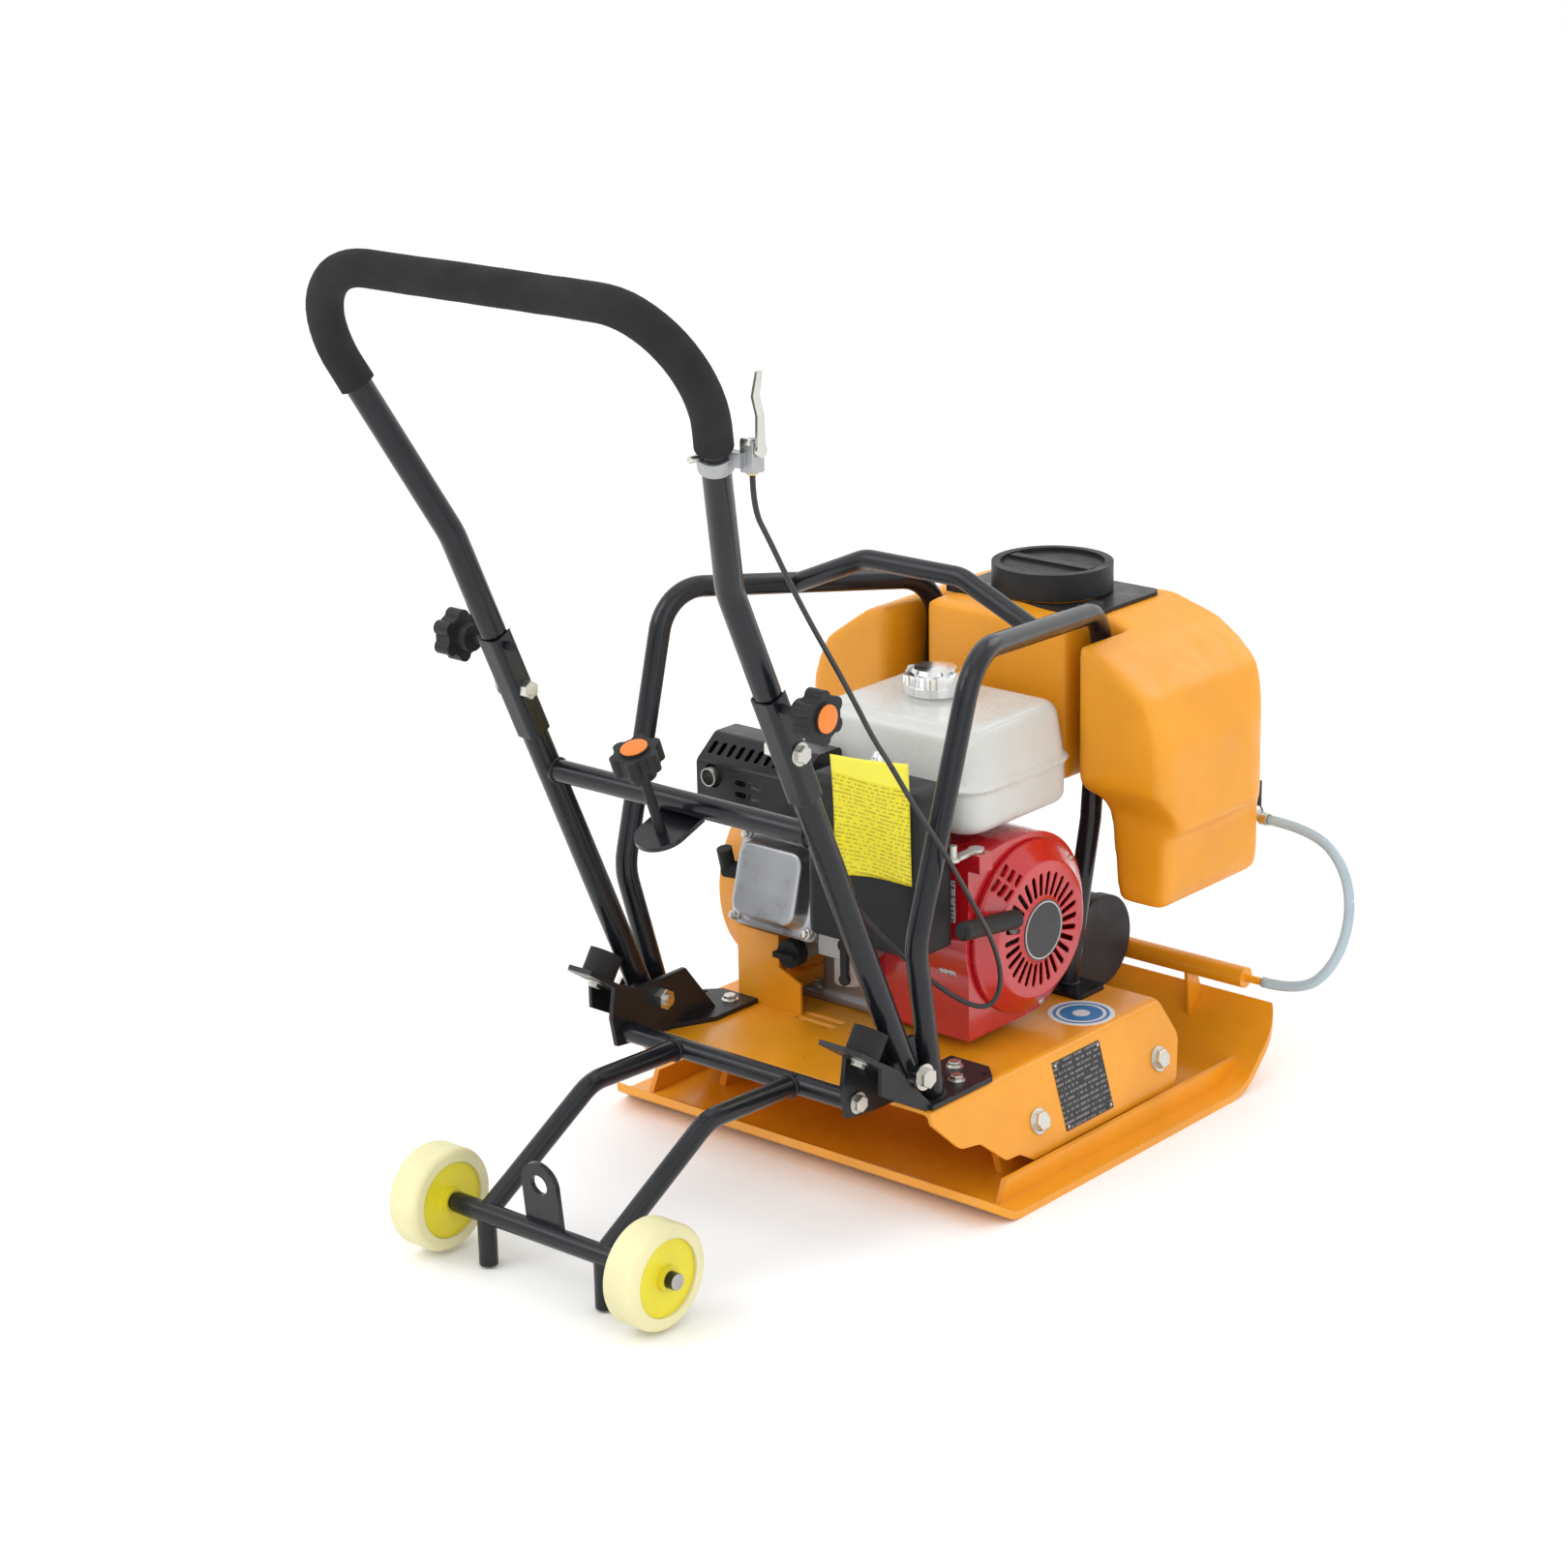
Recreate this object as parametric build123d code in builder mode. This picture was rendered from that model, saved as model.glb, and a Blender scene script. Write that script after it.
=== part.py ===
"""Walk-behind plate compactor, one solid or group of solids per node, in millimetres.

+Y is the travel direction, +X the operator's right, +Z up; Z 0 is the base plate's flat bottom.
"""

import os
from math import atan2, cos, degrees, hypot, radians, sin, tan

from build123d import *

os.makedirs("parts", exist_ok=True)

# ------------------------------------------------------------------ driving sizes
PLATE_HALF = 252.0
PLATE_T = 8.0
REAR_LIP = (-230.0, 22.0)
FLAT_REAR = -195.0
FLAT_FRONT = 195.0
NOSE_TOP = (268.0, 72.0)

DECK_TOP = 113.0
DECK_T = 4.0
DECK_HALF = 190.0
FLANGE_FOOT = (215.0, 26.0)
MOUNT_YS = (-98.0, 104.0)
MOUNT_Z = 58.0
MOUNT_LENGTH = 30.0
MOUNT_R = 24.0

CRANK = (-19.0, 221.0)
EXCITER = (175.0, 136.0)
BELT_X = -165.0
DRUM_R = 45.0
PULLEY_R = 36.0
CYLINDER_TILT = 15.0
CYLINDER_X = -82.0

BRACKET_T = 5.0
BRACKET_IN = 147.0
GUSSET_X = 182.5
HANDLE_PIVOT = (-255.0, 152.0)
FRAME_PIVOT = (-304.0, 132.0)
HANDLE_LEAN = 24.0
HANDLE_TUBE = 25.4
LEG_X = 168.0
CROSSBAR_V = 289.0
CROSSBAR_TUBE = 22.0
FOLD_V = 387.5
STUD_V = 438.0
CLEVIS_V = (335.0, 450.0)
TOP_V = 848.0
TOP_U = 248.0
FOAM_V = 719.0

LOCK_R = 276.8
LOCK_ANGLE = 110.07
TAB_REST = 186.1
ARM_X = 74.0
FRAME_TUBE = 20.0
AXLE = (-572.0, 54.0)
WHEEL_X = 136.0
WHEEL_R = 50.0
WHEEL_W = 36.0

GUARD_TUBE = 22.0
TANK_TOP = 494.0
NECK_Y = 198.0
PIPE = (240.0, 108.0)

SHAFT_FIT = 0.06
BOLT_FIT = 0.1
RUNNING_GAP = 0.3

SEATED = (Align.CENTER, Align.CENTER, Align.MIN)
HUNG = (Align.CENTER, Align.CENTER, Align.MAX)

# ------------------------------------------------------------------ shared shapes
FLANGE_SLOPE = degrees(atan2(FLANGE_FOOT[0] - DECK_HALF, DECK_TOP - FLANGE_FOOT[1]))
HANDLE = Plane(
    origin=(0, *HANDLE_PIVOT),
    x_dir=(1, 0, 0),
    z_dir=(0, -cos(radians(HANDLE_LEAN)), -sin(radians(HANDLE_LEAN))),
)


def facing(point, direction, x_dir=None):
    """The plane at a point that looks along a direction."""
    return Plane(origin=point, x_dir=x_dir, z_dir=direction)


def handle_point(u, v, w=0.0):
    """A point by distance across, up and behind the handle's plane."""
    return HANDLE.from_local_coords((u, v, w))


def handle_cut(u, v):
    """The plane square to the handle's legs, with X across and Y forward."""
    return Plane(origin=handle_point(u, v), x_dir=(1, 0, 0), z_dir=HANDLE.y_dir)


def tube(points, radii, outer, bore):
    """A round tube along a path with rounded bends."""
    with BuildPart() as piece:
        with BuildLine() as path:
            FilletPolyline(*points, radius=radii)
        with BuildSketch(Plane(origin=path.line @ 0, z_dir=path.line % 0)):
            Circle(outer / 2)
            if bore:
                Circle(bore / 2, mode=Mode.SUBTRACT)
        sweep()
    return piece.part


def flange_bolt(size, grip, nut=0.0):
    """A flanged hexagon bolt seated at Z 0 with its shank down, and a nut under the grip."""
    with BuildPart() as bolt:
        Cylinder(size * 1.08, size * 0.16, align=SEATED)
        with BuildSketch(Plane.XY.offset(size * 0.16)):
            RegularPolygon(size * 0.85, 6)
        extrude(amount=size * 0.55)
        chamfer(bolt.faces().sort_by(Axis.Z)[-1].edges(), size * 0.06)
        Cylinder(size / 2, grip, align=HUNG)
        if nut:
            with BuildSketch(Plane.XY.offset(-nut)):
                RegularPolygon(size * 0.9, 6)
            extrude(amount=-size * 0.8)
    return bolt.part


def hull_outline(big, big_r, small, small_r):
    """The outline around two circles, as a face in the current plane's own X and Y."""
    with BuildSketch() as outline:
        with Locations(big):
            Circle(big_r)
        with Locations(small):
            Circle(small_r)
        make_hull()
    return outline.sketch


def cord_radii(points, diameter):
    """The bend radius at each inner point of a free cord."""
    radii = []
    for before, here, after in zip(points, points[1:], points[2:]):
        first = Vector(*here) - Vector(*before)
        second = Vector(*after) - Vector(*here)
        half_turn = radians(first.get_angle(second)) / 2
        radii.append(0.45 * min(first.length, second.length) / tan(half_turn))
    print("cord", diameter, "least radius", round(min(radii), 1))
    return radii


# ------------------------------------------------------------------ base plate
MOUNT_AXIS = (cos(radians(FLANGE_SLOPE)), 0, sin(radians(FLANGE_SLOPE)))
MOUNT_X = DECK_HALF + (DECK_TOP - MOUNT_Z) * tan(radians(FLANGE_SLOPE))
LUG_T = 8.0
LUG_DEPTH = DECK_T + MOUNT_LENGTH


def mount_plane(side, y, depth):
    """The plane square to a rubber mount's axis, a depth in from the flange's outer face."""
    axis = Vector(side * MOUNT_AXIS[0], 0, MOUNT_AXIS[2])
    origin = Vector(side * MOUNT_X, y, MOUNT_Z) - axis * depth
    return Plane(origin=origin, x_dir=(0, side, 0), z_dir=axis)


MOUNT_SPOTS = [(side, y) for side in (-1, 1) for y in MOUNT_YS]
PAD_TOP = 32.0
EXCITER_BOLTS = [(x, y) for x in (-90, -32, 30, 52) for y in (140.5, 205.5) if x != 30]

with BuildPart() as base_plate:
    with BuildSketch(Plane.YZ):
        with BuildLine():
            FilletPolyline(REAR_LIP, (FLAT_REAR, 0), (FLAT_FRONT, 0), NOSE_TOP, radius=(40, 60))
            offset(amount=PLATE_T, side=Side.LEFT)
        make_face()
    extrude(amount=PLATE_HALF, both=True)
    for side in (-1, 1):
        with BuildSketch(Plane.YZ.offset(side * 225 - 3)):
            with BuildLine():
                Polyline((-190, 4), (-178, 30), (216, 30), (213, 24), (190, 8), (165, 4), close=True)
            make_face()
        extrude(amount=6)
    for y in (-60, 60):
        with Locations((0, y, PLATE_T / 2)):
            Box(400, 8, 22, align=SEATED)
    with BuildSketch(Plane.YZ.offset(-105)):
        with BuildLine():
            Polyline((129, 4), (129, PAD_TOP), (215, PAD_TOP), (213, 24), (190, 8), (165, 4), close=True)
        make_face()
    extrude(amount=170)
    for side, y in MOUNT_SPOTS:
        with BuildSketch(mount_plane(side, y, LUG_DEPTH)):
            with Locations((0, -8)):
                Rectangle(60, 72)
        extrude(amount=-LUG_T)
    with BuildSketch(Plane.XY.offset(-20)):
        Rectangle(620, 620)
    extrude(amount=20, mode=Mode.SUBTRACT)
    with BuildSketch(Plane.XY.offset(-1)):
        with Locations((0, (REAR_LIP[0] + NOSE_TOP[0]) / 2)):
            RectangleRounded(2 * PLATE_HALF, NOSE_TOP[0] - REAR_LIP[0] + 14, 45)
    extrude(amount=130, mode=Mode.INTERSECT)
    for x, y in EXCITER_BOLTS:
        with Locations((x, y, PAD_TOP)):
            Cylinder(4 + BOLT_FIT, 18, align=HUNG, mode=Mode.SUBTRACT)

# ------------------------------------------------------------------ rubber mounts
MOUNT_BOLT_GRIP = DECK_T + 12
with BuildPart() as rubber_mounts:
    for side, y in MOUNT_SPOTS:
        with BuildSketch(mount_plane(side, y, DECK_T)):
            Circle(MOUNT_R)
        extrude(amount=-MOUNT_LENGTH)
        with BuildSketch(mount_plane(side, y, DECK_T)):
            Circle(6 + BOLT_FIT)
        extrude(amount=-12.5, mode=Mode.SUBTRACT)

# ------------------------------------------------------------------ deck
DECK_SIDE = [(-247, 118), (-247, 100), (-216, 68), (-187, 64), (-156, 38), (-135, 37),
             (-115, 25), (123, 26), (144, 71), (122, 118)]
NOTCH = (-184.0, -146.0)
BRACKET_BOLTS = [(145.0, -152.0), (168.0, -178.0)]
ENGINE_BOLTS = [(x, y) for x in (-92, 56) for y in (-72, 46)]

with BuildPart() as deck:
    with BuildSketch(Plane.XZ):
        with BuildLine():
            FilletPolyline(FLANGE_FOOT, (DECK_HALF, DECK_TOP), (-DECK_HALF, DECK_TOP),
                           (-FLANGE_FOOT[0], FLANGE_FOOT[1]), radius=10)
            offset(amount=DECK_T, side=Side.LEFT)
        make_face()
    extrude(amount=260, both=True)
    with BuildSketch(Plane.YZ):
        with BuildLine():
            FilletPolyline(*DECK_SIDE, radius=(1, 6, 14, 14, 10, 10, 8, 14, 16, 1), close=True)
        make_face()
    extrude(amount=240, both=True, mode=Mode.INTERSECT)
    with BuildSketch(Plane.XY.offset(90)):
        with Locations(((NOTCH[0] + NOTCH[1]) / 2, 70)):
            Rectangle(NOTCH[1] - NOTCH[0], 190)
    extrude(amount=40, mode=Mode.SUBTRACT)
    with BuildSketch(Plane.XY.offset(100)):
        with Locations((-45, -122), (-45, -136), (25, -122), (25, -136)):
            SlotOverall(52, 7)
    extrude(amount=30, mode=Mode.SUBTRACT)
    for side, y in MOUNT_SPOTS:
        with BuildSketch(mount_plane(side, y, -1)):
            Circle(6 + BOLT_FIT)
        extrude(amount=-DECK_T - 2, mode=Mode.SUBTRACT)
    for x, y in ENGINE_BOLTS + [(s * bx, by) for s in (-1, 1) for bx, by in BRACKET_BOLTS]:
        with Locations((x, y, DECK_TOP + 1)):
            Cylinder(4 + BOLT_FIT, 8, align=HUNG, mode=Mode.SUBTRACT)

# ------------------------------------------------------------------ handle brackets
FLANGE_START = (-278.0, 160.0)
FLANGE_TIP = (-350.0, 209.0)
BUFFER_R = 17.0
BUFFER_H = 26.0
BUFFER_AT = 49.5
BUFFER_X = 168.0
FLANGE_RUN = (Vector(0, *FLANGE_TIP) - Vector(0, *FLANGE_START)).normalized()
FLANGE_UP = Vector(0, -FLANGE_RUN.Z, FLANGE_RUN.Y) * -1
BUFFER_SEAT = Vector(BUFFER_X, *FLANGE_START) + FLANGE_RUN * BUFFER_AT
BRACKET_TOP = DECK_TOP + BRACKET_T

with BuildPart() as bracket_right:
    with BuildSketch(Plane.XY.offset(DECK_TOP)):
        with BuildLine():
            Polyline((BRACKET_IN, -242), (190, -242), (190, -150), (172, -132), (125, -132),
                     (125, -196), close=True)
        make_face()
        with Locations(*BRACKET_BOLTS):
            Circle(4 + BOLT_FIT, mode=Mode.SUBTRACT)
        with Locations((180, -150)):
            Circle(2.5, mode=Mode.SUBTRACT)
    extrude(amount=BRACKET_T)
    with BuildSketch(Plane.YZ.offset(BRACKET_IN - BRACKET_T / 2)):
        with BuildLine():
            Polyline((-172, DECK_TOP + 2), (-217, 172), (-288, 172), (-318, 186), (-324, 150),
                     (-318, 120), (-290, 117), (-242, DECK_TOP + 1), close=True)
        make_face()
        with Locations(HANDLE_PIVOT):
            Circle(6 + BOLT_FIT, mode=Mode.SUBTRACT)
        with Locations(FRAME_PIVOT):
            Circle(5 + BOLT_FIT, mode=Mode.SUBTRACT)
    extrude(amount=BRACKET_T)
    with BuildSketch(Plane.YZ.offset(GUSSET_X)):
        with BuildLine():
            Polyline((-236, DECK_TOP + 2), (-290, 170), (-313, 184), (-313, 150), (-248, DECK_TOP + 1),
                     close=True)
        make_face()
    extrude(amount=BRACKET_T - 1)
    with BuildSketch(Plane(origin=Vector(0, *FLANGE_START), x_dir=(1, 0, 0), z_dir=FLANGE_UP)):
        with BuildLine():
            length = hypot(FLANGE_TIP[0] - FLANGE_START[0], FLANGE_TIP[1] - FLANGE_START[1])
            Polyline((BRACKET_IN - 2.5, 0), (GUSSET_X + 4, 0), (GUSSET_X + 4, 14 - length),
                     (GUSSET_X - 8, -length), (BRACKET_IN - 2.5, -length), close=True)
        make_face()
    extrude(amount=-BRACKET_T)
    with Locations(facing(BUFFER_SEAT, FLANGE_UP).location):
        Cylinder(4 + BOLT_FIT, 3 * BRACKET_T, mode=Mode.SUBTRACT)

with BuildPart() as handle_brackets:
    add(bracket_right.part)
    add(bracket_right.part.mirror(Plane.YZ))

with BuildPart() as handle_buffers:
    for side in (-1, 1):
        seat = Vector(side * BUFFER_SEAT.X, BUFFER_SEAT.Y, BUFFER_SEAT.Z)
        with Locations(facing(seat, FLANGE_UP).location):
            Cylinder(BUFFER_R, BUFFER_H, align=SEATED)
        with Locations(facing(seat, FLANGE_UP).location):
            Cylinder(4 + BOLT_FIT, 10.5, align=SEATED, mode=Mode.SUBTRACT)

PIVOT_HEAD_X = GUSSET_X + BRACKET_T + 2.5
with BuildPart() as handle_pivot_bolts:
    for side in (-1, 1):
        with Locations(facing((side * PIVOT_HEAD_X, *HANDLE_PIVOT), (side, 0, 0)).location):
            add(flange_bolt(12, PIVOT_HEAD_X - 131, PIVOT_HEAD_X - BRACKET_IN + BRACKET_T / 2))

# ------------------------------------------------------------------ exciter
EXCITER_R = 48.0
EXCITER_BORE = 36.0
SHAFT_R = 15.0
BEARING_XS = (-78.0, 38.0)
COVER_XS = (-110.0, 70.0)

with BuildPart() as exciter_housing:
    with BuildSketch(Plane.YZ.offset(COVER_XS[0])):
        with Locations(EXCITER):
            Circle(EXCITER_R)
    extrude(amount=COVER_XS[1] - COVER_XS[0])
    with Locations(((COVER_XS[0] + COVER_XS[1]) / 2 - 1, 173.5, PAD_TOP)):
        Box(158, 45, 60, align=SEATED)
    with Locations(((COVER_XS[0] + COVER_XS[1]) / 2 - 1, 172, PAD_TOP)):
        Box(162, 84, 12, align=SEATED)
    with BuildSketch(Plane.YZ.offset(COVER_XS[0])):
        with Locations(EXCITER):
            Circle(EXCITER_BORE)
    extrude(amount=COVER_XS[1] - COVER_XS[0], mode=Mode.SUBTRACT)
    for x, y in EXCITER_BOLTS:
        with Locations((x, y, PAD_TOP + 13)):
            Cylinder(4 + BOLT_FIT, 14, align=HUNG, mode=Mode.SUBTRACT)

with BuildPart() as exciter_covers:
    for x, depth in ((COVER_XS[0], -13.0), (COVER_XS[1], 13.0)):
        with BuildSketch(Plane.YZ.offset(x)):
            with Locations(EXCITER):
                Circle(EXCITER_R + 2)
                if depth < 0:
                    Circle(SHAFT_R + 1, mode=Mode.SUBTRACT)
        extrude(amount=depth)

BEARING_W = 23.0
with BuildPart() as exciter_bearings:
    for x in BEARING_XS:
        with BuildSketch(Plane.YZ.offset(x)):
            with Locations(EXCITER):
                Circle(EXCITER_BORE)
                Circle(SHAFT_R + SHAFT_FIT, mode=Mode.SUBTRACT)
        extrude(amount=BEARING_W)

with BuildPart() as eccentric_shaft:
    with BuildSketch(Plane.YZ.offset(-176)):
        with Locations(EXCITER):
            Circle(SHAFT_R)
    extrude(amount=176 + 66)
    with BuildSketch(Plane.YZ.offset(-48)):
        with BuildLine():
            ThreePointArc((EXCITER[0] - 31, EXCITER[1]), (EXCITER[0], EXCITER[1] - 31),
                          (EXCITER[0] + 31, EXCITER[1]))
            Line((EXCITER[0] + 31, EXCITER[1]), (EXCITER[0] - 31, EXCITER[1]))
        make_face()
    extrude(amount=80)

PULLEY_X = (BELT_X - 11.0, BELT_X + 11.0)


def grooved_wheel(centre, rim, root, hub_bore):
    """A V-grooved wheel about an axis along X."""
    with BuildPart() as wheel:
        with BuildSketch(Plane.XY) as section:
            with BuildLine():
                Polyline((PULLEY_X[0], hub_bore), (PULLEY_X[0], rim), (BELT_X - 8.5, rim),
                         (BELT_X - 5, root), (BELT_X + 5, root), (BELT_X + 8.5, rim),
                         (PULLEY_X[1], rim), (PULLEY_X[1], hub_bore), close=True)
            make_face()
        revolve(axis=Axis.X)
    return wheel.part.moved(Location((0, *centre)))


with BuildPart() as exciter_pulley:
    add(grooved_wheel(EXCITER, PULLEY_R + 3, PULLEY_R - 8, SHAFT_R))

with BuildPart() as clutch_drum:
    add(grooved_wheel(CRANK, DRUM_R + 3, DRUM_R - 8, 12.5))

with BuildPart() as drive_belt:
    outer_belt = hull_outline(CRANK, DRUM_R + 2, EXCITER, PULLEY_R + 2)
    inner_belt = hull_outline(CRANK, DRUM_R - 7.6, EXCITER, PULLEY_R - 7.6)
    with BuildSketch(Plane.YZ.offset(BELT_X - 4.5)):
        add(outer_belt)
        add(inner_belt, mode=Mode.SUBTRACT)
    extrude(amount=9)

GUARD_X = (-182.0, -148.0)
GUARD_WALL = 2.0
with BuildPart() as belt_guard:
    guard_outer = hull_outline(CRANK, 104, EXCITER, 54)
    guard_inner = hull_outline(CRANK, 104 - GUARD_WALL, EXCITER, 54 - GUARD_WALL)
    with BuildSketch(Plane.YZ.offset(GUARD_X[0])):
        add(guard_outer)
    extrude(amount=GUARD_X[1] - GUARD_X[0])
    with BuildSketch(Plane.YZ.offset(GUARD_X[0] + GUARD_WALL)):
        add(guard_inner)
    extrude(amount=GUARD_X[1] - GUARD_X[0], mode=Mode.SUBTRACT)
    with BuildSketch(Plane.XZ.offset(128.5)):
        with BuildLine():
            Polyline((-151, DECK_TOP), (-68, DECK_TOP), (-68, 146), (-96, 158), (-96, 192),
                     (-151, 192), close=True)
        make_face()
    extrude(amount=3)
    with BuildSketch(Plane.YZ.offset(-151)):
        with BuildLine():
            Polyline((-131.5, DECK_TOP), (-60, DECK_TOP), (-60, 130), (-96, 192), (-131.5, 192), close=True)
        make_face()
    extrude(amount=3)

# ------------------------------------------------------------------ engine block
CYLINDER_DIR = Vector(0, -cos(radians(CYLINDER_TILT)), sin(radians(CYLINDER_TILT)))


def cylinder_plane(distance):
    """The plane square to the cylinder, with Y up along the head."""
    origin = Vector(CYLINDER_X, *CRANK) + CYLINDER_DIR * distance
    return Plane(origin=origin, x_dir=(1, 0, 0), z_dir=CYLINDER_DIR)


OIL_NECK = (-76.0, 179.0)
HEAD_START = 98.0
COVER_START = 128.0
COVER_END = 151.0
CRANK_R = 12.5

with BuildPart() as crankcase:
    with BuildSketch(Plane.YZ.offset(-118)):
        with Locations(CRANK):
            Circle(70)
    extrude(amount=188)
    with Locations((-19, CRANK[0] + 1, DECK_TOP + 8)):
        Box(120, 134, 100, align=SEATED)
    with Locations((-19, -13, DECK_TOP)):
        Box(172, 152, 10, align=SEATED)
    with BuildSketch(cylinder_plane(50)):
        Rectangle(84, 84)
    extrude(amount=HEAD_START - 50)
    for level in (68, 76, 84, 92):
        with BuildSketch(cylinder_plane(level)):
            RectangleRounded(104, 100, 8)
        extrude(amount=2.5)
    for x in (-70, 40):
        with Locations((x, -8, CRANK[1] + 40)):
            Box(22, 46, 325 - CRANK[1] - 40, align=SEATED)
    with Locations(Location((OIL_NECK[0], -80, OIL_NECK[1]), (90, 0, 0))):
        Cylinder(12, 46, align=SEATED)
    with BuildSketch(Plane.YZ.offset(-120)):
        with Locations(CRANK):
            Circle(CRANK_R + SHAFT_FIT)
    extrude(amount=200, mode=Mode.SUBTRACT)
    with BuildSketch(Plane.YZ.offset(-96)):
        with Locations(CRANK):
            Circle(52)
    extrude(amount=140, mode=Mode.SUBTRACT)
    for x, y in ENGINE_BOLTS:
        with Locations((x, y, DECK_TOP + 11)):
            Cylinder(4 + BOLT_FIT, 12, align=HUNG, mode=Mode.SUBTRACT)

with BuildPart() as crankshaft:
    with BuildSketch(Plane.YZ.offset(-178)):
        with Locations(CRANK):
            Circle(CRANK_R)
    extrude(amount=178 + 118)
    for x in (-44, -16):
        with BuildSketch(Plane.YZ.offset(x)):
            with Locations(CRANK):
                Circle(40)
        extrude(amount=14)

with BuildPart() as cylinder_head:
    with BuildSketch(cylinder_plane(HEAD_START)):
        RectangleRounded(108, 100, 8)
    extrude(amount=COVER_START - HEAD_START)
    for level in (102, 109, 116):
        with BuildSketch(cylinder_plane(level)):
            RectangleRounded(118, 110, 6)
            RectangleRounded(106, 98, 6, mode=Mode.SUBTRACT)
        extrude(amount=3.5, mode=Mode.SUBTRACT)

with BuildPart() as rocker_cover:
    with BuildSketch(cylinder_plane(COVER_START)):
        RectangleRounded(108, 98, 16)
    extrude(amount=5)
    with BuildSketch(cylinder_plane(COVER_START + 5)):
        RectangleRounded(90, 82, 18)
    extrude(amount=COVER_END - COVER_START - 5, taper=14)

with BuildPart() as oil_cap:
    with BuildSketch(Plane.XZ.offset(126 + RUNNING_GAP)):
        with Locations(OIL_NECK):
            RegularPolygon(15, 10)
    extrude(amount=14)
    with BuildSketch(Plane.XZ.offset(140)):
        with Locations(OIL_NECK):
            Rectangle(26, 6)
    extrude(amount=9)

# ------------------------------------------------------------------ engine cowling
SHROUD_X = (70.0, 130.0)
SHROUD_WALL = 2.0
FAN_R = 80.0
MOUTH_R = 66.0
REAR_FACE = -110.0


def cowl_outline(inset):
    """The fan cowl's side outline, inset by a wall."""
    with BuildSketch() as outline:
        with Locations(CRANK):
            Circle(95 - inset)
        with BuildLine():
            Polyline((REAR_FACE + inset, 126 + inset), (CRANK[0], 126 + inset), (CRANK[0], 316 - inset),
                     (-50, 316 - inset), (REAR_FACE + inset, 309 - inset), close=True)
        make_face()
    return outline.sketch


with BuildPart() as fan_cover:
    with BuildSketch(Plane.YZ.offset(SHROUD_X[0])):
        add(cowl_outline(0))
    extrude(amount=SHROUD_X[1] - SHROUD_X[0])
    with BuildSketch(Plane.YZ.offset(SHROUD_X[0] - 1)):
        add(cowl_outline(SHROUD_WALL))
    extrude(amount=SHROUD_X[1] - SHROUD_X[0] + 1 - SHROUD_WALL, mode=Mode.SUBTRACT)
    with BuildSketch(Plane.YZ.offset(SHROUD_X[1] - 5)):
        with Locations(CRANK):
            Circle(MOUTH_R)
    extrude(amount=10, mode=Mode.SUBTRACT)
    with Locations((15, REAR_FACE, 126)):
        Box(56, 3, 79, align=(Align.MIN, Align.MIN, Align.MIN))
    with Locations((120, REAR_FACE, 302)):
        Box(24, 20, 18, align=(Align.MIN, Align.MIN, Align.MIN))

RECOIL_X = (130.0, 150.0)
BADGE_R = 32.0
with BuildPart() as recoil_cover:
    with BuildSketch(Plane.YZ.offset(RECOIL_X[0])):
        with Locations(CRANK):
            Circle(88)
    extrude(amount=6)
    with BuildSketch(Plane.YZ.offset(RECOIL_X[0] + 6)):
        with Locations(CRANK):
            Circle(86)
    extrude(amount=RECOIL_X[1] - RECOIL_X[0] - 6, taper=50)
    with BuildSketch(Plane.YZ.offset(RECOIL_X[0])):
        with Locations(CRANK):
            Circle(82)
    extrude(amount=4, mode=Mode.SUBTRACT)
    with BuildSketch(Plane.YZ.offset(RECOIL_X[0] + 4)):
        with Locations(CRANK):
            Circle(80)
    extrude(amount=RECOIL_X[1] - RECOIL_X[0] - 6.5, taper=50, mode=Mode.SUBTRACT)
    with BuildSketch(Plane.YZ.offset(RECOIL_X[0] - 1)):
        with Locations(CRANK):
            with PolarLocations(46.5, 28):
                Rectangle(23, 4.4)
            with Locations(Location((0, 0), 128)):
                with Locations((75.5, 0)):
                    with GridLocations(6.6, 18, 3, 2):
                        Rectangle(3.8, 14)
    extrude(amount=40, mode=Mode.SUBTRACT)
    with BuildSketch(Plane.YZ.offset(RECOIL_X[1] - 2.5)):
        with Locations(CRANK):
            Circle(BADGE_R)
    extrude(amount=4.5)

GRIP_PATH = [(162, -163, 263), (162, -74, 251)]
with BuildPart() as recoil_grip:
    with BuildSketch(facing(GRIP_PATH[0], Vector(*GRIP_PATH[1]) - Vector(*GRIP_PATH[0]))):
        Circle(9.5)
    extrude(amount=90.8)
    fillet(recoil_grip.edges().filter_by(GeomType.CIRCLE), 5)

with BuildPart() as flywheel_fan:
    with BuildSketch(Plane.YZ.offset(78)):
        with Locations(CRANK):
            Circle(FAN_R)
            Circle(CRANK_R, mode=Mode.SUBTRACT)
    extrude(amount=18)
    with BuildSketch(Plane.YZ.offset(96)):
        with Locations(CRANK):
            Circle(28)
            Circle(CRANK_R, mode=Mode.SUBTRACT)
            with PolarLocations(54, 16):
                Rectangle(44, 3)
    extrude(amount=16)

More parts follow.
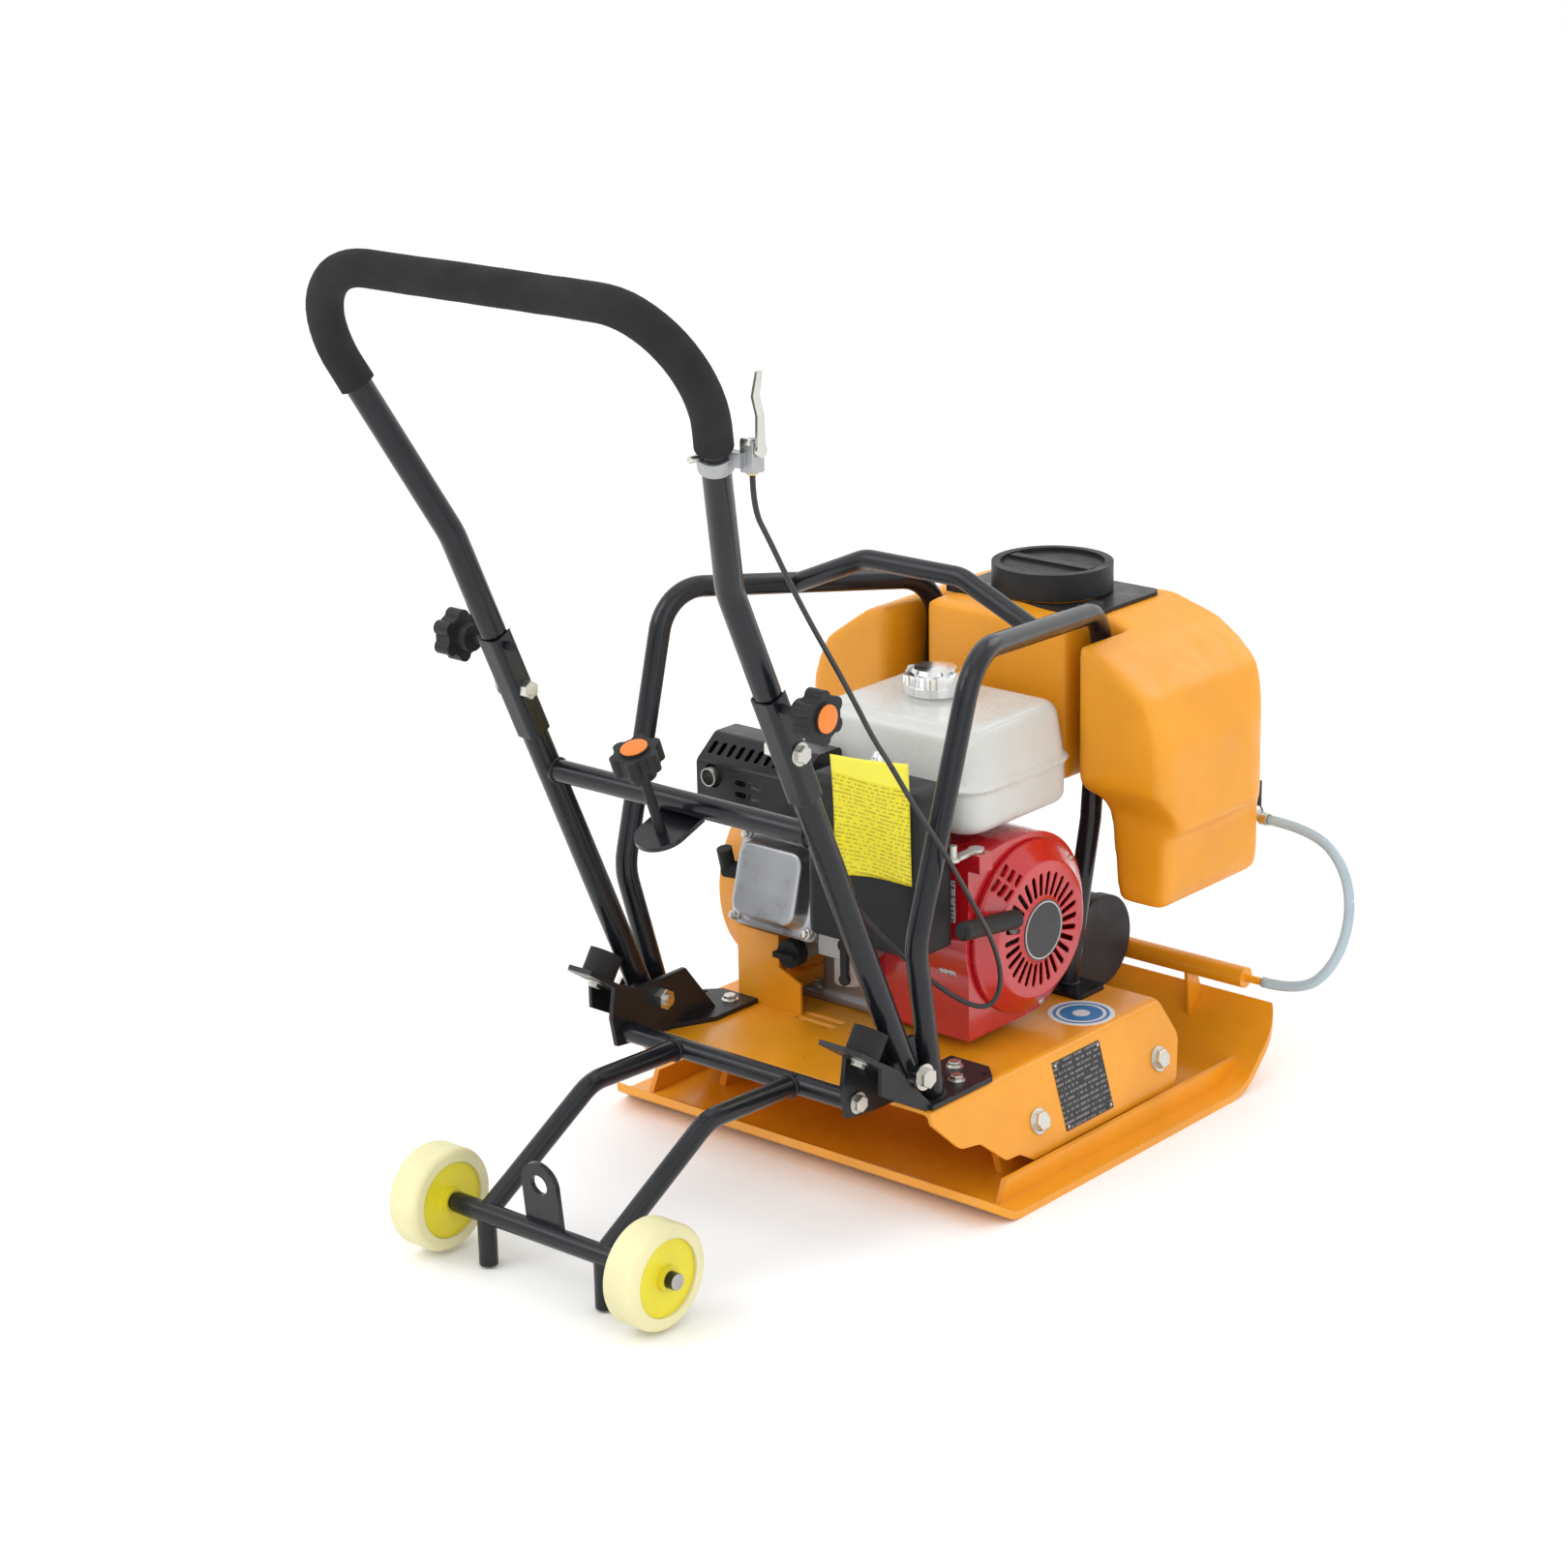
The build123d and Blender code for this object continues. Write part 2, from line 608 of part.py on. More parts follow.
# ------------------------------------------------------------------ fuel tank
FUEL_Z = (325.0, 430.0)
FUEL_CAP = (0.0, 4.0)
with BuildPart() as fuel_tank:
    with BuildSketch(Plane.XY.offset(FUEL_Z[0])):
        with Locations((13.5, -7.5)):
            RectangleRounded(213, 171, 30)
    extrude(amount=48)
    fillet(fuel_tank.faces().sort_by(Axis.Z)[0].edges(), 12)
    with BuildSketch(Plane.XY.offset(FUEL_Z[0] + 48)):
        with Locations((13.5, -7.5)):
            RectangleRounded(213, 171, 30)
    extrude(amount=FUEL_Z[1] - FUEL_Z[0] - 48, taper=9)
    fillet(fuel_tank.faces().sort_by(Axis.Z)[-1].edges(), 16)
    with BuildSketch(Plane.XY.offset(370)):
        with Locations((13.5, -7.5)):
            RectangleRounded(223, 181, 34)
    extrude(amount=4)
    with Locations((*FUEL_CAP, FUEL_Z[1] - 4)):
        Cylinder(27, 16, align=SEATED)

with BuildPart() as fuel_cap:
    with BuildSketch(Plane.XY.offset(FUEL_Z[1] + 12.5)):
        with Locations(FUEL_CAP):
            Circle(30)
            with PolarLocations(27, 6):
                Circle(7)
    extrude(amount=12)
    with BuildSketch(Plane.XY.offset(FUEL_Z[1] + 24.5)):
        with Locations(FUEL_CAP):
            Circle(24)
    extrude(amount=4, taper=30)
    with BuildSketch(Plane.XY.offset(FUEL_Z[1] + 4)):
        with Locations(FUEL_CAP):
            Circle(31)
            Circle(27 + RUNNING_GAP, mode=Mode.SUBTRACT)
    extrude(amount=9)

# ------------------------------------------------------------------ air cleaner, carburettor
CLEANER = ((-20.0, 120.0), (-179.0, -115.0), (228.0, 392.0))
CLEANER_NUT = (50.0, -147.0)
with BuildPart() as air_cleaner:
    with BuildSketch(Plane.XY.offset(CLEANER[2][0])):
        with Locations(CLEANER_NUT):
            RectangleRounded(140, CLEANER[1][1] - CLEANER[1][0], 14)
    extrude(amount=CLEANER[2][1] - CLEANER[2][0])
    fillet(air_cleaner.faces().sort_by(Axis.Z)[-1].edges(), 12)
    with Locations((*CLEANER_NUT, CLEANER[2][1] - 1)):
        Cylinder(16, 7, align=SEATED)
        Cylinder(4, 24, align=SEATED)
    with Locations((CLEANER[0][0] - 12, -137, 330)):
        Box(14, 12, 16, align=(Align.MIN, Align.MIN, Align.MIN))

CARB_TOP = CLEANER[2][0]
with BuildPart() as carburettor:
    with Locations((0, -132, CARB_TOP - 34)):
        Box(54, 36, 34, align=SEATED)
    with Locations((0, -132, CARB_TOP - 62)):
        Cylinder(17, 30, align=SEATED)

with BuildPart() as choke_lever:
    with BuildSketch(Plane.XZ.offset(150 + RUNNING_GAP)):
        with Locations((8, 211)):
            Circle(7)
        with Locations((8, 193)):
            Rectangle(8, 36)
        with Locations((8, 175)):
            Circle(6)
    extrude(amount=4)

with BuildPart() as throttle_arm:
    with BuildSketch(Plane.XY.offset(320 + RUNNING_GAP)):
        with Locations((132, -100)):
            Circle(8)
        with Locations((132, -118)):
            Rectangle(10, 36)
        with Locations((132, -136)):
            Circle(7)
    extrude(amount=3.5)
    with Locations((132, -136, 322)):
        Cylinder(4, 14, align=SEATED)

# ------------------------------------------------------------------ muffler
MUFFLER = ((-170.0, -35.0), (-165.0, -97.0), (313.0, 395.0))
OUTLET = (-149.0, 359.0)
with BuildPart() as muffler:
    with Locations((-102, -131, MUFFLER[2][0] + 4)):
        Box(124, 50, 56, align=SEATED)
    fillet(muffler.edges().filter_by(Axis.X), 14)
    with BuildSketch(Plane(origin=(CYLINDER_X, -126, 306), x_dir=(1, 0, 0), z_dir=(0, 0.2588, 0.9659))):
        Rectangle(44, 22)
    extrude(amount=16)
    with BuildSketch(Plane.XZ.offset(140)):
        with Locations(OUTLET):
            Circle(9.5)
            Circle(8, mode=Mode.SUBTRACT)
    extrude(amount=32)

with BuildPart() as muffler_guard:
    with BuildSketch(Plane.YZ.offset(MUFFLER[0][0])):
        with BuildLine():
            FilletPolyline((-100, 313), (-100, 395), (-136, 395), (-165, 372), (-165, 313), radius=(6, 10, 8))
            offset(amount=1.5, side=Side.LEFT)
        make_face()
    extrude(amount=MUFFLER[0][1] - MUFFLER[0][0])
    for x in (MUFFLER[0][0], MUFFLER[0][1] - 1.5):
        with BuildSketch(Plane.YZ.offset(x)):
            with BuildLine():
                FilletPolyline((-100, 313), (-100, 395), (-136, 395), (-165, 372), (-165, 313),
                               radius=(6, 10, 8))
                Line((-165, 313), (-100, 313))
            make_face()
        extrude(amount=1.5)
    with BuildSketch(Plane.XZ.offset(120)):
        with Locations(OUTLET):
            Circle(12)
        with Locations(*[(-112 + 18 * column, 322 + 12 * row) for column in (0, 1) for row in (0, 1, 2, 3)]):
            SlotOverall(15, 6)
    extrude(amount=60, mode=Mode.SUBTRACT)
    with BuildSketch(Plane(origin=(0, -150.5, 383.5), x_dir=(1, 0, 0), z_dir=(0, -0.621, 0.784))):
        with Locations(*[(-160 + 12 * i, 0) for i in range(11)]):
            SlotOverall(16, 6, rotation=90)
    extrude(amount=12, both=True, mode=Mode.SUBTRACT)

with BuildPart() as spark_plug_cap:
    with BuildSketch(facing((-138.5, -128, 250), (-1, -0.2, 0))):
        Circle(9)
    extrude(amount=26)
    with BuildSketch(facing((-160, -132.5, 250), (0, -0.25, 1))):
        Circle(8)
    extrude(amount=24)

# ------------------------------------------------------------------ guard loops
LOOP_POINTS = [(172, -219, 118), (184, -258, 281), (192, -178, 548), (105, 144, 505), (106, 122, 290),
               (95, 98, DECK_TOP + 5)]
LOOP_RADII = (60, 50, 50, 60)
FOOT_PLATE = 5.0

with BuildPart() as guard_loop_right:
    add(tube(LOOP_POINTS, LOOP_RADII, GUARD_TUBE, GUARD_TUBE - 5))
    with BuildSketch(Plane.XY.offset(DECK_TOP)):
        with Locations((98, 94)):
            RectangleRounded(66, 46, 6)
    extrude(amount=FOOT_PLATE)
    with Locations((175, -225, BRACKET_TOP)):
        Box(80, 90, 30, align=HUNG, mode=Mode.SUBTRACT)

with BuildPart() as guard_loop_left:
    add(guard_loop_right.part.mirror(Plane.YZ))

with BuildPart() as lifting_bow:
    add(tube([(-151, -30, 528), (-60, -30, 567), (60, -30, 567), (151, -30, 528)], (40, 40), GUARD_TUBE - 2,
             GUARD_TUBE - 7))
    add(guard_loop_right.part, mode=Mode.SUBTRACT)
    add(guard_loop_left.part, mode=Mode.SUBTRACT)

# ------------------------------------------------------------------ water tank
TANK_SIDE = [(95, TANK_TOP), (150, 478), (205, 440), (228, 390), (228, 300), (212, 292), (212, 232),
             (205, 215), (150, 215), (136, 330)]
TANK_FRONT = 285.0
NECK_R = 56.0
TAP = (180.0, 262.0)


with BuildPart() as water_tank:
    with BuildSketch(Plane.XZ) as front:
        with BuildLine():
            Polyline(*TANK_SIDE, *[(-x, z) for x, z in reversed(TANK_SIDE)], close=True)
        make_face()
        fillet(front.vertices(), 7)
    extrude(amount=-TANK_FRONT)
    with BuildSketch(Plane.XY.offset(100)) as plan:
        with Locations((0, 180)):
            Rectangle(456, 210)
        fillet(plan.vertices().group_by(Axis.Y)[-1], 55)
        fillet(plan.vertices().group_by(Axis.Y)[0], 14)
    extrude(amount=500, mode=Mode.INTERSECT)
    with BuildSketch(Plane.XY.offset(100)):
        with Locations((0, 80)):
            Rectangle(180, 40)
        for side in (-1, 1):
            with Locations((side * 105.5, 110)):
                Rectangle(31, 100)
    extrude(amount=500, mode=Mode.SUBTRACT)
    with BuildSketch(Plane.YZ.offset(-300)):
        with BuildLine():
            Polyline((70, 200), (70, 345), (75, 345), (105, 310), (105, 200), close=True)
        make_face()
    extrude(amount=600, mode=Mode.SUBTRACT)
    with BuildSketch(Plane.YZ.offset(-300)):
        with BuildLine():
            Polyline((70, 200), (70, 292), (105, 266), (170, 215), (170, 200), close=True)
        make_face()
    extrude(amount=250, mode=Mode.SUBTRACT)
    with Locations((0, NECK_Y, TANK_TOP - 6)):
        Cylinder(NECK_R, 24, align=SEATED)
    with Locations((0, 192, 345)):
        Box(172, 160, 140, align=SEATED, mode=Mode.SUBTRACT)
    with Locations((0, 215, 345)):
        Box(400, 90, 80, align=SEATED, mode=Mode.SUBTRACT)
    for side in (-1, 1):
        with Locations((side * 176, 222, 225)):
            Box(52, 70, 200, align=SEATED, mode=Mode.SUBTRACT)
    with Locations((0, NECK_Y, TANK_TOP - 10)):
        Cylinder(NECK_R - 4, 40, align=SEATED, mode=Mode.SUBTRACT)

CAP_R = 63.0
with BuildPart() as water_cap:
    with Locations((0, NECK_Y, TANK_TOP + 6)):
        Cylinder(CAP_R, 28, align=SEATED)
        Cylinder(NECK_R + RUNNING_GAP, 12.6, align=SEATED, mode=Mode.SUBTRACT)
    with Locations((0, NECK_Y, TANK_TOP + 30)):
        Cylinder(CAP_R - 9, 10, align=SEATED, mode=Mode.SUBTRACT)
    with Locations((0, NECK_Y, TANK_TOP + 30)):
        Box(CAP_R * 1.6, 12, 3.5, align=SEATED)

STRAP_T = 4.0
with BuildPart() as tank_strap:
    with BuildSketch(Plane.XY.offset(TANK_TOP)):
        with Locations((0, 200)):
            RectangleRounded(186, 124, 12)
        with Locations((0, NECK_Y)):
            Circle(NECK_R + RUNNING_GAP, mode=Mode.SUBTRACT)
    extrude(amount=STRAP_T)
    for side in (-1, 1):
        with Locations((side * 84, 150, TANK_TOP)):
            Box(14, 26, 12, align=SEATED)

with BuildPart() as water_tap:
    with BuildSketch(Plane.XZ.offset(-TANK_FRONT)):
        with Locations(TAP):
            Circle(9)
    extrude(amount=-26)
    with BuildSketch(Plane.YZ.offset(TAP[0])):
        with Locations((298, TAP[1])):
            Circle(4)
    extrude(amount=26)

with BuildPart() as water_tap_lever:
    with BuildSketch(Plane.XZ.offset(-TANK_FRONT - 26 - RUNNING_GAP)):
        with Locations(TAP):
            Circle(7)
        with Locations((TAP[0], TAP[1] + 17)):
            Rectangle(9, 34)
    extrude(amount=-5)

# ------------------------------------------------------------------ sprinkler and hose
PIPE_R = 11.0
with BuildPart() as sprinkler_pipe:
    with BuildSketch(Plane.YZ.offset(-220)):
        with Locations(PIPE):
            Circle(PIPE_R)
    extrude(amount=440)
    with BuildSketch(Plane.YZ.offset(-218)):
        with Locations(PIPE):
            Circle(PIPE_R - 2)
    extrude(amount=436, mode=Mode.SUBTRACT)
    with BuildSketch(Plane.YZ.offset(219)):
        with Locations(PIPE):
            Circle(4)
    extrude(amount=22)
    for x in (-140, 150):
        with BuildSketch(Plane.YZ.offset(x - 2)):
            with BuildLine():
                Polyline((PIPE[0] - 8, PIPE[1] - 8), (PIPE[0] + 8, PIPE[1] - 8), (259, 74.4), (236, 51.7),
                         close=True)
            make_face()
        extrude(amount=4)

NOSE_UP = Vector(0, FLAT_FRONT - NOSE_TOP[0], 0).normalized() * sin(
    atan2(NOSE_TOP[1], NOSE_TOP[0] - FLAT_FRONT)
) + Vector(0, 0, cos(atan2(NOSE_TOP[1], NOSE_TOP[0] - FLAT_FRONT)))

HOSE_POINTS = [(206, 298, 262), (262, 298, 262), (312, 280, 236), (330, 264, 190), (320, 250, 140),
               (288, 240, 108), (241, 240, 108)]
HOSE_D = 11.0
with BuildPart() as water_hose:
    with BuildLine() as hose_path:
        FilletPolyline(*HOSE_POINTS, radius=cord_radii(HOSE_POINTS, HOSE_D))
    with BuildSketch(Plane(origin=hose_path.line @ 0, z_dir=hose_path.line % 0)):
        Circle(HOSE_D / 2)
    sweep()
print("hose volume", round(water_hose.part.volume), "of", round(95.03 * hose_path.wires()[0].length))

with BuildPart() as hose_clamps:
    with BuildSketch(Plane.YZ.offset(196)):
        with Locations((298, TAP[1])):
            Circle(7)
            Circle(4, mode=Mode.SUBTRACT)
    extrude(amount=10)

# ------------------------------------------------------------------ lower handle
LEG_TOP = CLEVIS_V[0] + 4
SLEEVE_R = 9.0
LOCK_DIR = Vector(0, cos(radians(LOCK_ANGLE)), sin(radians(LOCK_ANGLE)))
LOCK_HOLE = Vector(0, *FRAME_PIVOT) + LOCK_DIR * LOCK_R
LOCK_PLANE = Plane(origin=LOCK_HOLE, x_dir=(1, 0, 0), z_dir=LOCK_DIR)
LOCK_T = 5.0
LOCK_STUD_R = 5.0
SECTION = HANDLE_TUBE / 2

with BuildPart() as lower_handle:
    for side in (-1, 1):
        with BuildSketch(handle_cut(side * LEG_X, -14)):
            Circle(SECTION)
        extrude(amount=LEG_TOP + 14)
        with BuildSketch(handle_cut(side * LEG_X, CLEVIS_V[0])):
            RectangleRounded(27, 26, 7)
        extrude(amount=CLEVIS_V[1] - CLEVIS_V[0])
        with BuildSketch(handle_cut(side * LEG_X, CLEVIS_V[0] + 12)):
            with Locations((0, 1.5)):
                Rectangle(21, 23)
        extrude(amount=CLEVIS_V[1] - CLEVIS_V[0], mode=Mode.SUBTRACT)
        sleeve = (BRACKET_IN + BRACKET_T / 2 + RUNNING_GAP, PIVOT_HEAD_X - RUNNING_GAP)
        with BuildSketch(Plane.YZ.offset(side * sleeve[0])):
            with Locations(HANDLE_PIVOT):
                Circle(SLEEVE_R)
        extrude(amount=side * (sleeve[1] - sleeve[0]))
        with BuildSketch(Plane.YZ.offset(side * 120)):
            with Locations(HANDLE_PIVOT):
                Circle(6 + SHAFT_FIT)
        extrude(amount=side * 90, mode=Mode.SUBTRACT)
        for v, hole in ((FOLD_V, 5 + SHAFT_FIT), (STUD_V, 4 + SHAFT_FIT)):
            spot = handle_point(side * LEG_X, v)
            with BuildSketch(facing((side * 140, spot.Y, spot.Z), (1, 0, 0))):
                Circle(hole)
            extrude(amount=80, both=True, mode=Mode.SUBTRACT)
    bar = handle_point(0, CROSSBAR_V)
    with BuildSketch(facing((-LEG_X, bar.Y, bar.Z), (1, 0, 0))):
        Circle(CROSSBAR_TUBE / 2)
    extrude(amount=2 * LEG_X)
    with BuildSketch(LOCK_PLANE.offset(-LOCK_T / 2)):
        Circle(26)
        with Locations((0, 16)):
            Rectangle(52, 32)
    extrude(amount=LOCK_T)
    with BuildSketch(LOCK_PLANE.offset(-LOCK_T)):
        Circle(LOCK_STUD_R + SHAFT_FIT)
    extrude(amount=2 * LOCK_T, mode=Mode.SUBTRACT)

with BuildPart() as fold_pivot_bolts:
    for side in (-1, 1):
        spot = handle_point(side * LEG_X, FOLD_V)
        with Locations(facing((side * (LEG_X + 13.5), spot.Y, spot.Z), (side, 0, 0)).location):
            add(flange_bolt(10, 36, 27))

# ------------------------------------------------------------------ upper handle
UPPER_V = CLEVIS_V[1] + 2
TONGUE_W = 19.0
TONGUE_D = 16.5
FOAM_D = 34.0
UPPER_PATH = [(-LEG_X, UPPER_V), (-LEG_X, 563), (-TOP_U, TOP_V), (TOP_U, TOP_V), (LEG_X, 563), (LEG_X, UPPER_V)]
FOAM_U = LEG_X + (FOAM_V - 563) * (TOP_U - LEG_X) / (TOP_V - 563)
FOAM_PATH = [(-FOAM_U, FOAM_V), (-TOP_U, TOP_V), (TOP_U, TOP_V), (FOAM_U, FOAM_V)]

with BuildPart() as upper_handle:
    add(tube([handle_point(*p) for p in UPPER_PATH], (60, 85, 85, 60), HANDLE_TUBE, HANDLE_TUBE - 5))
    for side in (-1, 1):
        with BuildSketch(handle_cut(side * LEG_X, FOLD_V)):
            Rectangle(TONGUE_W, TONGUE_D)
        extrude(amount=470 - FOLD_V)
        spot = handle_point(side * LEG_X, FOLD_V)
        with BuildSketch(facing((side * LEG_X - TONGUE_W / 2, spot.Y, spot.Z), (1, 0, 0))):
            Circle(TONGUE_D / 2)
        extrude(amount=TONGUE_W)
        with BuildSketch(facing((side * LEG_X - 20, spot.Y, spot.Z), (1, 0, 0))):
            Circle(5 + SHAFT_FIT)
        extrude(amount=40, mode=Mode.SUBTRACT)
        slot = Plane(origin=handle_point(side * LEG_X, STUD_V - 0.7), x_dir=HANDLE.y_dir, z_dir=(1, 0, 0))
        with BuildSketch(slot) as cut:
            Circle(5.5)
            with Locations((0, 10 if (slot.y_dir.dot(HANDLE.z_dir) > 0) else -10)):
                Rectangle(12, 20)
        extrude(amount=20, both=True, mode=Mode.SUBTRACT)

with BuildPart() as foam_grip:
    add(tube([handle_point(*p) for p in FOAM_PATH], (85, 85), FOAM_D, HANDLE_TUBE))

# ------------------------------------------------------------------ star knobs
KNOB_R = 25.0


def star_knob(stud_r, stud_from, body_at):
    """A six-lobed knob about +Z with a stud from the origin side up to its body."""
    with BuildPart() as knob:
        with BuildSketch(Plane.XY.offset(body_at)):
            Circle(KNOB_R - 5)
            with PolarLocations(KNOB_R - 7, 6):
                Circle(7)
        extrude(amount=18)
        with BuildSketch(Plane.XY.offset(body_at - 12)):
            Circle(13)
        extrude(amount=12)
        with BuildSketch(Plane.XY.offset(body_at + 18)):
            Circle(14)
        extrude(amount=2)
        with BuildSketch(Plane.XY.offset(stud_from)):
            Circle(stud_r)
        extrude(amount=body_at - stud_from)
    return knob.part


FOLD_KNOB = star_knob(4, -20, 43)
KNOB_SPOTS = {side: handle_point(side * LEG_X, STUD_V) for side in (-1, 1)}
with BuildPart() as fold_knob_right:
    with Locations(facing(KNOB_SPOTS[1], (1, 0, 0)).location):
        add(FOLD_KNOB)
with BuildPart() as fold_knob_left:
    with Locations(facing(KNOB_SPOTS[-1], (-1, 0, 0)).location):
        add(FOLD_KNOB)
with BuildPart() as lock_knob:
    with Locations(LOCK_PLANE.location):
        add(star_knob(LOCK_STUD_R, -LOCK_T / 2, 76))

# ------------------------------------------------------------------ wheel frame
TAB_GAP = 0.8
TAB_T = 5.0
TAB_HOLE_R = 10.0
TAB_R = LOCK_R - LOCK_T / 2 - TAB_GAP - TAB_T / 2
TAB_DIR = Vector(0, cos(radians(TAB_REST)), sin(radians(TAB_REST)))
TAB_HOLE = Vector(0, *FRAME_PIVOT) + TAB_DIR * TAB_R
PIVOT_BAR_X = BRACKET_IN - BRACKET_T / 2 - 1
print("wheel frame folds by", round(TAB_REST - LOCK_ANGLE, 2), "degrees")

with BuildPart() as wheel_frame:
    for side in (-1, 1):
        arm = [(side * ARM_X, *FRAME_PIVOT), (side * ARM_X, -428, 137), (side * ARM_X, *AXLE)]
        add(tube(arm, (50,), FRAME_TUBE, 0))
        with BuildSketch(Plane.XY.offset(3)):
            with Locations((side * ARM_X, AXLE[0])):
                Circle(FRAME_TUBE / 2 - 1)
        extrude(amount=AXLE[1] - 3)
    with BuildSketch(Plane.YZ.offset(-PIVOT_BAR_X)):
        with Locations(FRAME_PIVOT):
            Circle(FRAME_TUBE / 2)
    extrude(amount=2 * PIVOT_BAR_X)
    with BuildSketch(Plane.YZ.offset(-112)):
        with Locations(AXLE):
            Circle(FRAME_TUBE / 2)
    extrude(amount=224)
    with BuildSketch(Plane.YZ.offset(-164)):
        with Locations(AXLE):
            Circle(8)
    extrude(amount=328)
    with BuildSketch(Plane(origin=TAB_HOLE, x_dir=(1, 0, 0), z_dir=TAB_DIR)) as tab:
        Circle(22)
        with Locations((0, -26)):
            Rectangle(44, 52)
        Circle(TAB_HOLE_R, mode=Mode.SUBTRACT)
    extrude(amount=TAB_T / 2, both=True)
    for side in (-1, 1):
        with BuildSketch(Plane.YZ.offset(side * PIVOT_BAR_X)):
            with Locations(FRAME_PIVOT):
                Circle(5 + SHAFT_FIT)
        extrude(amount=-side * 28, mode=Mode.SUBTRACT)

HUB_R = 37.0


def wheel_pair(side):
    """The tyre and hub of one wheel, as parts."""
    with BuildPart() as tyre:
        with BuildSketch(Plane.YZ.offset(side * WHEEL_X - WHEEL_W / 2)):
            with Locations(AXLE):
                Circle(WHEEL_R)
                Circle(HUB_R, mode=Mode.SUBTRACT)
        extrude(amount=WHEEL_W)
        fillet(tyre.edges().filter_by(GeomType.CIRCLE).group_by(SortBy.RADIUS)[-1], min(6, 0.6 * (WHEEL_R - HUB_R)))
    with BuildPart() as hub:
        with BuildSketch(Plane.YZ.offset(side * WHEEL_X - WHEEL_W / 2 + 3)):
            with Locations(AXLE):
                Circle(HUB_R)
                Circle(8 + SHAFT_FIT, mode=Mode.SUBTRACT)
        extrude(amount=WHEEL_W - 6)
        with BuildSketch(Plane.YZ.offset(side * WHEEL_X - 20)):
            with Locations(AXLE):
                Circle(12)
                Circle(8 + SHAFT_FIT, mode=Mode.SUBTRACT)
        extrude(amount=40)
    return tyre.part, hub.part


RIGHT_TYRE, RIGHT_HUB = wheel_pair(1)
LEFT_TYRE, LEFT_HUB = wheel_pair(-1)

# ------------------------------------------------------------------ throttle control
CLAMP_V = FOAM_V - 8
CLAMP_U = LEG_X + (CLAMP_V - 563) * (TOP_U - LEG_X) / (TOP_V - 563)
CLAMP_DIR = (handle_point(TOP_U, TOP_V) - handle_point(LEG_X, 563)).normalized()
CLAMP_AT = handle_point(CLAMP_U, CLAMP_V)
BODY = CLAMP_AT + Vector(26.45614, 16.18975, -1.53082)

with BuildPart() as throttle_clamp:
    with BuildSketch(facing(CLAMP_AT, CLAMP_DIR)):
        Circle(SECTION + 3)
    extrude(amount=-14)
    with Locations(BODY):
        Box(14, 14, 26)
        Cylinder(4, 30)
    with Locations((BODY.X - 10, BODY.Y - 8, BODY.Z - 2)):
        Box(16, 12, 12)
    with BuildSketch(facing(CLAMP_AT + CLAMP_DIR * 20, CLAMP_DIR)):
        Circle(SECTION)
    extrude(amount=-60, mode=Mode.SUBTRACT)

with BuildPart() as throttle_lever:
    with Locations(Location((BODY.X + 7 + RUNNING_GAP, BODY.Y, BODY.Z + 6), (0, 90, 0))):
        Cylinder(6, 4, align=SEATED)
    with BuildSketch(Plane.YZ.offset(BODY.X + 7.8)):
        with BuildLine():
            Polyline((BODY.Y - 5, BODY.Z + 6), (BODY.Y - 4, BODY.Z + 35), (BODY.Y - 9, BODY.Z + 52), (BODY.Y - 3, BODY.Z + 72),
                     (BODY.Y + 3, BODY.Z + 72), (BODY.Y - 1, BODY.Z + 52), (BODY.Y + 4, BODY.Z + 35), (BODY.Y + 5, BODY.Z + 6), close=True)
        make_face()
    extrude(amount=3)

CABLE_D = 5.0
CABLE_POINTS = [(236, -528, 785), (236, -528, 756), (230, -503, 725), (225, -469, 675),
                (222, -440, 634), (220, -409, 592), (218, -380, 551), (216, -354, 512), (216, -329, 480),
                (215, -306, 448), (213, -277, 412), (212, -248, 375), (205, -197, 309), (199, -160, 261),
                (194, -139, 216), (186, -143, 187), (174, -163, 190), (152, -197, 221), (120, -221, 260),
                (88, -229, 293), (45, -220, 322), (10, -204, 334), (-16, -194, 338), (-27, -170, 338),
                (-27, -137, 338)]
with BuildPart() as throttle_cable:
    with BuildLine() as cable_path:
        FilletPolyline(*CABLE_POINTS, radius=cord_radii(CABLE_POINTS, CABLE_D))
    with BuildSketch(Plane(origin=cable_path.line @ 0, z_dir=cable_path.line % 0)):
        Circle(CABLE_D / 2)
    sweep()
print("cable length", round(cable_path.wires()[0].length, 1))
print("cable volume", round(throttle_cable.part.volume), "of", round(19.635 * cable_path.wires()[0].length))

# ------------------------------------------------------------------ hang tag
with BuildPart() as hang_tag:
    with BuildSketch(Plane.XZ.offset(CLEANER[1][0] * -1 + 1.2)):
        with Locations(Location((70, 362, 0), (0, 0, 5))):
            Rectangle(97, 118)
    extrude(amount=0.8)

# ------------------------------------------------------------------ bolts
BOLTS_M12 = [mount_plane(side, y, 0).location for side, y in MOUNT_SPOTS]
BOLTS_M8 = [Location((x, y, DECK_TOP + 10)) for x, y in ENGINE_BOLTS]
BOLTS_M8 += [Location((side * x, y, BRACKET_TOP)) for side in (-1, 1) for x, y in BRACKET_BOLTS]
BUFFER_BOLTS = [
    facing(Vector(side * BUFFER_X, BUFFER_SEAT.Y, BUFFER_SEAT.Z) - FLANGE_UP * BRACKET_T, -FLANGE_UP).location
    for side in (-1, 1)
]
FRAME_BOLTS = [
    facing((side * (BRACKET_IN + BRACKET_T / 2), *FRAME_PIVOT), (side, 0, 0)).location for side in (-1, 1)
]
EXCITER_SPOTS = [Location((x, y, PAD_TOP + 12)) for x, y in EXCITER_BOLTS]
